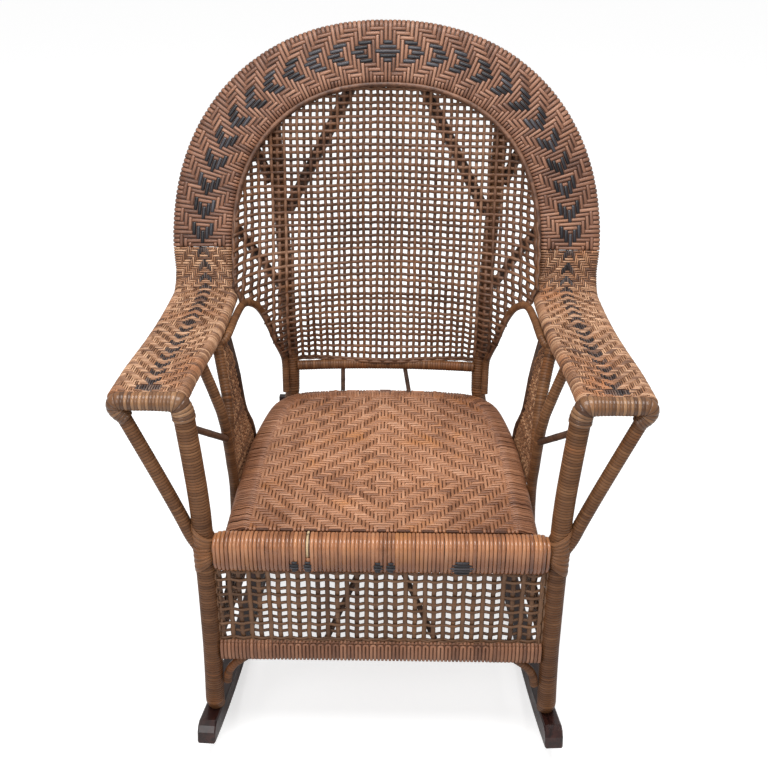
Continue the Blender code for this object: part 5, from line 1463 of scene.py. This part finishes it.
HOOP_LIFT = 0.001
HOOP_REACHES = (0.028, 0.020, 0.012)
SEAT_REED = (0.92, 0.0034)
SEAT_DIP, SEAT_UNDER, SEAT_SHIVER = 0.7, 0.36, 0.07
TOP_SINK, BOTTOM_SINK = 0.0006, 0.0085
WRAP_THICK = 0.0032


def seat_span(y):
    """How far the flat weave reaches to each side at one depth."""
    right = hoop_line[hoop_line[:, 0] >= 0.0]
    order = np.argsort(right[:, 1])
    return float(np.interp(y, right[order][:, 1], right[order][:, 0]))


def hoop_wrap_surface():
    """The way of the reeds from the seat over the hoop and back under it."""
    middle = np.array([0.0, float(hoop_line[:, 1].mean()) - 0.03, 0.0])
    along = np.gradient(hoop_line, axis=0)
    along = along / np.linalg.norm(along, axis=1)[:, None]
    out = np.cross(along, (0.0, 0.0, 1.0))
    out = out / np.linalg.norm(out, axis=1)[:, None]
    flip = np.sign(((hoop_line - middle) * out).sum(axis=1))
    out = out * np.median(flip)
    radius = hoop_size + HOOP_LIFT
    rows = []
    for centre, outward in zip(hoop_line, out):
        section = []
        for reach in HOOP_REACHES:
            spot = centre - outward * reach
            section.append((-reach, float(seat_height(spot[:1], spot[1:2])[0]) - centre[2]))
        for angle in np.radians(range(100, -111, -15)):
            section.append((radius * math.cos(angle), radius * math.sin(angle)))
        section += [(-0.014, -radius), (-0.026, 0.002 - hoop_size)]
        path = np.array([(a, 0.0, b) for a, b in section])
        path = even_line(through_points(path, 4), 0.0025)
        far = travelled(path)
        ways = np.linspace(0.0, far[-1], 34)
        a, b = np.interp(ways, far, path[:, 0]), np.interp(ways, far, path[:, 2])
        rows.append(centre + outward * a[:, None] + np.array([0.0, 0.0, 1.0]) * b[:, None])
    grid = np.array(rows)
    test = np.cross(grid[1, 1] - grid[0, 1], grid[0, 2] - grid[0, 1])
    if test[2] < 0.0:
        grid = grid[::-1]
    return grid_surface(grid)


def weave_seat():
    """The twill of the seat with its turns over the hoop, and the twill on the underside."""
    columns = int(round((seat_high[0] - seat_low[0]) / SEAT_PITCH_X / 2.0)) * 2
    rows = int(round((seat_high[1] - seat_low[1]) / SEAT_PITCH_Y))
    pitch_y = (seat_high[1] - seat_low[1]) / rows
    middle_row = int(rows * SEAT_CENTRE)
    top = np.zeros((columns, rows), dtype=bool)
    for i in range(columns):
        for j in range(rows):
            top[i, j] = (abs(i + 0.5 - columns / 2.0) - 0.5 + abs(j - middle_row)) % 6 < 3

    def seat_face(way, sink):
        def place(u, v, high):
            x = (u - columns / 2.0) * SEAT_PITCH_X
            return sheet_place(seat_height, 2, x, seat_low[1] + v * pitch_y, way * high - sink)
        return place

    surface, underside = seat_face(1.0, TOP_SINK), seat_face(-1.0, BOTTOM_SINK)
    layers, below = [], []
    for place, target in ((surface, layers), (underside, below)):
        plain = []
        for j in range(rows):
            reach = (seat_span(seat_low[1] + (j + 0.5) * pitch_y) - 0.020) / SEAT_PITCH_X
            for first, last in runs(top[:, j]):
                first, last = max(first, columns / 2.0 - reach), min(last, columns / 2.0 + reach)
                if last - first > 0.6:
                    plain.append((first, last, j + 0.5, 0, j * 50 + int(first)))
        for i in range(columns):
            x = abs(i + 0.5 - columns / 2.0) * SEAT_PITCH_X
            for first, last in runs(~top[i]):
                if seat_span(seat_low[1] + last * pitch_y) - 0.016 > x:
                    plain.append((first, last, i + 0.5, 1, 5000 + i))
        laid = lay_reeds(plain, short_reed, place, *SEAT_REED, SEAT_DIP, SEAT_UNDER, SEAT_SHIVER)
        target.append((*laid, 0))
    # Dark strips under the rows: painted shade in the gaps of the seat's weave.
    for j in range(rows - 1):
        reach = (seat_span(seat_low[1] + (j + 0.5) * pitch_y) - 0.010) / SEAT_PITCH_X
        strip = ground_layer(surface, (columns / 2.0 - reach, columns / 2.0 + reach), (j, j + 1.0),
                             (20, 1), -0.0008, -0.0056)
        layers.append((*strip, 1))
    wrap, length, girth = hoop_wrap_surface()
    ways = []
    steps = np.linspace(0.0, girth, 16)
    lift = np.interp(steps / girth, (0.0, 0.12, 0.9, 1.0), (-0.0022, 0.0008, 0.0006, -0.001))
    for k in range(int(length / WRAP_PITCH)):
        far = (k + 0.5) * WRAP_PITCH + chance.uniform(-0.0005, 0.0005)
        drift = chance.uniform(-0.0022, 0.0022)
        ways.append(path_of(far + drift * np.sin(steps * 60.0) * 0.5, steps, lift))
    layers.append((*lay_paths(ways, wrap, WRAP_PITCH * 0.86, WRAP_THICK), 0))
    # A dark ground under the strands over the hoop: painted shade in their gaps.
    layers.append((*ground_layer(wrap, (0.001, length - 0.001), (0.002, girth - 0.002), (120, 24),
                                 -0.0014, -0.0030), 1))
    piece = dress(woven_piece("woven_seat", layers), (seat_reed, painted_seat_shade), "woven_cane", "seat_panel")
    lower = dress(woven_piece("woven_seat_underside", below), [seat_reed], "woven_cane")
    print("seat strands over the hoop:", len(ways), "triangles:", triangles(piece), triangles(lower))


weave_seat()

# %% [markdown]
# ## The front roll
# At the front the strands leave the seat, turn over the front rail and hang down to the
# apron. They lie side by side, so each is one long reed that follows the roll's section.

# %% Wrap the front roll

ROLL_PITCH = 0.0058
ROLL_RADIUS = 0.0150
ROLL_REED = (0.0060, 0.0030)
ROLL_END_REACH = 0.014
ROLL_END_FALL = 0.0050
ROLL_GAP = -0.1045
CROSS_PITCH = 0.0050
CROSS_REED = (0.0046, 0.0024)
CROSSES = ((-0.1235, 0.0165, 4), (-0.1045, 0.0165, 4), (-0.0045, 0.0165, 4), (0.0140, 0.0165, 4),
           (0.1155, 0.0400, 5))
PALE_REED = (0.0042, 0.0018)


def black_cross(surface, x, v, wide, rows):
    """Short black reeds over the roll's strands, the middle one longest."""
    paths = []
    for k in range(rows):
        off = k - (rows - 1) / 2.0
        half = wide / 2.0 * (1.0 - 0.45 * abs(off) / max(1.0, (rows - 1) / 2.0))
        run = np.linspace(-half, half, 6)
        high = 0.0018 - 0.0022 * (np.abs(run) / half) ** 4
        paths.append(path_of(x + run, v + off * CROSS_PITCH, high))
    return lay_paths(paths, surface, *CROSS_REED)


def wrap_roll():
    """Strands side by side over the roll, with black crosses and one missing strand's pale core."""
    low, high = (np.array(corner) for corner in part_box("seat_front_roll"))
    post, post_size = post_at("front_post_right", (low[2] + high[2]) / 2.0)
    low[0], high[0] = post_size - post[0], post[0] - post_size
    axis_y, axis_z = low[1] + ROLL_RADIUS, high[2] - ROLL_RADIUS
    profile = [(axis_y + 0.020, high[2] - 0.0034), (axis_y + 0.010, high[2] - 0.0006)]
    for angle in np.radians(range(90, 181, 15)):
        profile.append((axis_y + ROLL_RADIUS * math.cos(angle), axis_z + ROLL_RADIUS * math.sin(angle)))
    profile += [(low[1], low[2] + 0.012), (low[1] + 0.003, low[2] - 0.001)]
    profile = even_line(np.array([(0.0, y, z) for y, z in profile]), 0.002)
    grid = repeated_section(np.linspace(low[0], high[0], 24), profile[:, 1:])
    if np.cross(grid[1, 0] - grid[0, 0], grid[0, 1] - grid[0, 0])[2] < 0.0:
        grid = grid[::-1]
    mirrored = grid[0, 0, 0] > grid[-1, 0, 0]
    surface, length, girth = grid_surface(grid)
    count = int(round(length / ROLL_PITCH))
    steps = np.linspace(0.0006, girth, 22)
    paths = []
    for k in range(count):
        far = (k + 0.5) * length / count
        gap = abs((far if not mirrored else length - far) + low[0] - ROLL_GAP) < ROLL_PITCH / 2.0
        sway = chance.uniform(-0.0004, 0.0004, 3)
        side = np.interp(steps / girth, (0.0, 0.5, 1.0), sway)
        lift = np.interp(steps / girth, (0.0, 0.1, 0.93, 1.0), (-0.0030, 0.0, 0.0, -0.0012))
        lift = lift - ROLL_END_FALL * max(0.0, 1.0 - min(far, length - far) / ROLL_END_REACH) ** 2
        path = path_of(far + side, steps, lift + chance.uniform(-0.0002, 0.0002))
        paths.append(path[14:] if gap else path)
    layers = [(*lay_paths(paths, surface, *ROLL_REED), 0)]
    # A dark ground under the roll's strands: painted shade in their gaps.
    layers.append((*ground_layer(surface, (0.010, length - 0.010), (0.006, girth - 0.001), (40, 20),
                                 -0.0016, -0.0034), 1))

    def across_roll(x):
        return length - (x - low[0]) if mirrored else x - low[0]

    for x, wide, rows in CROSSES:
        layers.append((*black_cross(surface, across_roll(x), girth - 0.0125, wide, rows), 2))
    pale = [path_of(across_roll(ROLL_GAP), np.linspace(first, last, 8), -0.0010)
            for first, last in ((0.0020, 0.0100), (0.0135, girth * 0.66))]
    layers.append((*lay_paths(pale, surface, *PALE_REED), 3))
    print("roll strands:", len(paths))
    dress(woven_piece("wrapped_front_roll", layers), (roll_reed, painted_groove_shade, black_reed, bare_core),
          "woven_cane", "seat_front_roll")


wrap_roll()

# %% [markdown]
# ## Corner bindings
# Where the seat's front meets a front post, strands run from the roll round the post and back.
# They lie close together beside the roll and fan out on the far side of the post.

# %% Bind the two front corners

BINDING_STRANDS = 17
BINDING_REED = (0.0054, 0.0018)


def bind_corner(side):
    """Strands that fan out round a front post at the height of the seat's front roll."""
    sign = 1.0 if side == "right" else -1.0
    low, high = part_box("seat_front_roll")
    level = (low[2] + high[2]) / 2.0 + 0.004
    line, sizes = sliced_line("front_post_" + side, 2, POST_SLICES)
    radius = float(np.interp(level, line[:, 2], sizes)) * 1.01

    def surface(u, v, rise):
        angle = u / radius
        out = radius + rise
        round_post = np.stack([-sign * np.cos(angle) * out, -np.sin(angle) * out, 0.0 * out], axis=1)
        return points_at(level + v, line[:, 2], line) + round_post

    paths = []
    around = np.linspace(-math.pi, math.pi, 33)
    for k in range(BINDING_STRANDS):
        off = k - (BINDING_STRANDS - 1) / 2.0
        spacing = 0.0019 + 0.0030 * np.sin(around / 2.0) ** 2
        drift = 0.0006 * np.sin(around + chance.uniform(0.0, 6.0))
        rise = 0.0002 + 0.0005 * (k % 2) + 0.0014 * np.cos(around / 2.0) ** 2
        paths.append(path_of(around * radius, off * spacing + drift, rise))
    piece = woven_piece("corner_binding_" + side, [(*lay_paths(paths, surface, *BINDING_REED), 0)])
    dress(piece, [post_cane_warm], "wrapped_cane")


for side in ("left", "right"):
    bind_corner(side)
print("binding strands at each corner:", BINDING_STRANDS)

# %% [markdown]
# ## The dark rockers
# The two rockers and the cross rail are solid wood with a dark, glossy stain. The frame's
# own shapes are right, so they keep them and get a finish with long grain.

# %% Rocker, rail and screw finishes


def stained_wood():
    """Near black stained wood with a red tint, faint grain and a hand-rubbed gloss."""
    material, tree, shader, place = new_material("dark_stained_wood")
    stretch = add_node(tree, "Mapping", {"Vector": place, "Scale": (40.0, 3.0, 40.0)})
    grain = noise_node(tree, stretch.outputs[0], 3.0, 5.0, 0.6)
    wear = noise_node(tree, place, 14.0, 4.0, 0.6)
    colour = mix_colour(tree, range_node(tree, grain, 0.3, 0.7), (0.010, 0.004, 0.004), (0.040, 0.013, 0.010))
    colour = mix_colour(tree, range_node(tree, wear, 0.55, 0.8, 0.0, 0.5), colour, (0.085, 0.035, 0.025))
    set_inputs(tree, shader, {"Base Color": colour, "Roughness": range_node(tree, wear, 0.3, 0.8, 0.2, 0.42)})
    add_relief(tree, shader, grain, 0.12, 0.0006)
    return material


def dull_steel():
    """Worn bare steel for the foot screws."""
    material, tree, shader, _ = new_material("dull_screw_steel")
    set_inputs(tree, shader, {"Metallic": 1.0, "Base Color": (0.35, 0.32, 0.28), "Roughness": 0.4})
    return material


rocker_wood = stained_wood()
screw_steel = dull_steel()
finished = dict.fromkeys(("runner_left", "runner_right", "rear_cross_rail"), rocker_wood)
for side in ("left", "right"):
    for end in ("front", "rear"):
        finished[end + "_foot_screw_" + side] = screw_steel
for node, finish in finished.items():
    bpy.data.objects[node].material_slots[0].material = finish
print("finished as wood or steel:", len(finished))

# %% [markdown]
# ## The front lower rail
# The deep rail below the front apron is covered with loops. Each strand comes up the front,
# turns over in a small round arch and goes down again, so the rail reads as a row of narrow
# hairpins. The rail's own section is measured, and the loops are laid round it.

# %% Cover the front lower rail with loops

LOOP_PITCH = 0.0112
LOOP_REED = (0.0046, 0.0028)
PLAIN_REACH = 0.075
PLAIN_REED = (0.0054, 0.0026)


def loop_rail():
    """Hairpin loops round the rail, and plain turns near its two ends."""
    low, high = (np.array(corner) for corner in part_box("lower_rail_front"))
    middle = (low + high) / 2.0
    half_y, half_z = (high[1] - low[1]) / 2.0 - 0.001, (high[2] - low[2]) / 2.0 - 0.001
    angles = np.linspace(0.0, 2.0 * math.pi, 49) + 0.70 * math.pi
    ring = np.stack([np.sign(np.cos(angles)) * np.abs(np.cos(angles)) ** 0.7 * half_y,
                     np.sign(np.sin(angles)) * np.abs(np.sin(angles)) ** 0.7 * half_z], axis=1)
    grid = repeated_section(np.linspace(high[0] + 0.002, low[0] - 0.002, 20), middle[1:] + ring)
    first = np.cross(grid[1, 0] - grid[0, 0], grid[0, 1] - grid[0, 0])
    if np.dot(first, grid[0, 0] - np.array([grid[0, 0, 0], middle[1], middle[2]])) < 0.0:
        grid = grid[::-1]
    surface, length, girth = grid_surface(grid)
    count = int(length / LOOP_PITCH)
    bend = 0.25 * length / count
    turn = np.linspace(math.pi, 0.0, 7)
    around = np.linspace(0.0, girth, 26)
    down = np.linspace(0.0045, girth * 0.99, 18)
    paths, plain = [], []
    for k in range(count):
        centre = (k + 0.5) * length / count
        if min(centre, length - centre) < PLAIN_REACH:
            plain += [path_of(centre + side * bend, around, 0.0004) for side in (-1.0, 1.0)]
            continue
        arch = path_of(centre + bend * np.cos(turn), 0.0035 - 0.0030 * np.sin(turn), 0.0006)
        left, right = (path_of(centre + side * bend, down, 0.0004) for side in (-1.0, 1.0))
        paths.append(np.vstack([left[::-1], arch, right]))
    layers = [(*lay_paths(paths, surface, *LOOP_REED), 0), (*lay_paths(plain, surface, *PLAIN_REED), 0)]
    # A dark ground under the loops: painted shade in their gaps.
    layers.append((*ground_layer(surface, (0.001, length - 0.001), (0.0, girth), (30, 40),
                                 -0.0010, -0.0030), 1))
    print("loops:", len(paths), "plain turns:", len(plain))
    dress(woven_piece("looped_front_rail", layers), (rail_cane, painted_seat_shade), "wrapped_cane",
          "lower_rail_front")


loop_rail()

# %% [markdown]
# ## Floor, light and camera
# The chair stands on a plain pale floor under soft, even light, seen from the front and a
# little above.

# %% Floor

FLOOR_SIZE = 60.0
FLOOR_GREY = (0.70, 0.70, 0.70)
FLOOR_GLOW = 0.62


def pale_floor():
    """A wide, dull floor that looks a little brighter to the camera than its light makes it."""
    bpy.ops.object.select_all(action="DESELECT")
    bpy.ops.mesh.primitive_grid_add(x_subdivisions=8, y_subdivisions=8, size=FLOOR_SIZE,
                                    location=(0.0, 0.0, 0.0))
    floor = bpy.context.object
    floor.name = "studio_floor"
    material, tree, shader, _ = new_material("pale_floor")
    seen = add_node(tree, "LightPath", {}).outputs["Is Camera Ray"]
    set_inputs(tree, shader, {"Base Color": FLOOR_GREY, "Roughness": 0.9, "Specular IOR Level": 0.1,
                              "Emission Color": (1.0, 1.0, 1.0),
                              "Emission Strength": math_node(tree, "MULTIPLY", seen, FLOOR_GLOW)})
    floor.data.materials.append(material)


pale_floor()

# %% Light

WORLD_LIGHT = 0.50


def soft_light(name, place, target, size, power):
    """A rectangular light at a place, turned towards a target."""
    data = bpy.data.lights.new(name, "AREA")
    data.shape = "RECTANGLE"
    data.size, data.size_y = size
    data.energy = power
    lamp = bpy.data.objects.new(name, data)
    lamp.location = place
    lamp.rotation_euler = (Vector(target) - Vector(place)).to_track_quat("-Z", "Y").to_euler()
    bpy.context.scene.collection.objects.link(lamp)


def pale_world():
    """Even white light from all sides, seen at full strength by the camera alone."""
    world = bpy.data.worlds.new("pale_room")
    bpy.context.scene.world = world
    world.use_nodes = True
    tree = world.node_tree
    rays = add_node(tree, "LightPath", {}).outputs
    seen = math_node(tree, "MAXIMUM", rays["Is Camera Ray"], rays["Is Transmission Ray"])
    strength = add_node(tree, "MapRange", {"Value": seen, "To Min": WORLD_LIGHT, "To Max": 1.0})
    set_inputs(tree, tree.nodes["Background"], {"Color": (1.0, 1.0, 1.0), "Strength": strength.outputs[0]})


soft_light("top_softbox", (0.0, -0.7, 3.0), (0.0, 0.0, 0.4), (2.2, 1.6), 78.0)
soft_light("front_softbox", (-1.2, -2.8, 2.1), (0.0, 0.0, 0.5), (1.6, 1.6), 30.0)
pale_world()
bpy.context.scene.view_settings.view_transform = "Standard"
print("lights:", len(bpy.data.lights), "and the world")

# %% Camera

CAMERA_PLACE = (0.016, -1.4963, 1.259)
CAMERA_PITCH, CAMERA_YAW, CAMERA_ROLL = 27.54, -0.6503, 0.3208
SENSOR = 36.0
FOCAL_SHARE = 1010.0 / 768.0


def photo_camera():
    """A camera in front of the chair, a little above it, looking down on the seat."""
    pitch, yaw, roll = (math.radians(angle) for angle in (CAMERA_PITCH, CAMERA_YAW, CAMERA_ROLL))
    forward = Vector((math.sin(yaw) * math.cos(pitch), math.cos(yaw) * math.cos(pitch), -math.sin(pitch)))
    right = Vector((math.cos(yaw), -math.sin(yaw), 0.0))
    up = right.cross(forward)
    level_right = right * math.cos(roll) + up * math.sin(roll)
    level_up = up * math.cos(roll) - right * math.sin(roll)
    data = bpy.data.cameras.new("photo_camera")
    data.sensor_width = SENSOR
    data.lens = FOCAL_SHARE * SENSOR
    camera = bpy.data.objects.new("photo_camera", data)
    turned = Matrix((level_right, level_up, -forward)).transposed()
    camera.matrix_world = Matrix.Translation(CAMERA_PLACE) @ turned.to_4x4()
    bpy.context.scene.collection.objects.link(camera)
    bpy.context.scene.camera = camera
    print("camera at", CAMERA_PLACE, "lens", round(data.lens, 2))


photo_camera()

# %% [markdown]
# ## Tidy up
# The two model pieces that were kept for copying are removed. The dressed chair may stand
# only a little proud of the frame.

# %% Remove the spare model pieces

for spare in (one_turn, stick_length):
    bpy.data.objects.remove(spare)
bpy.context.view_layer.update()
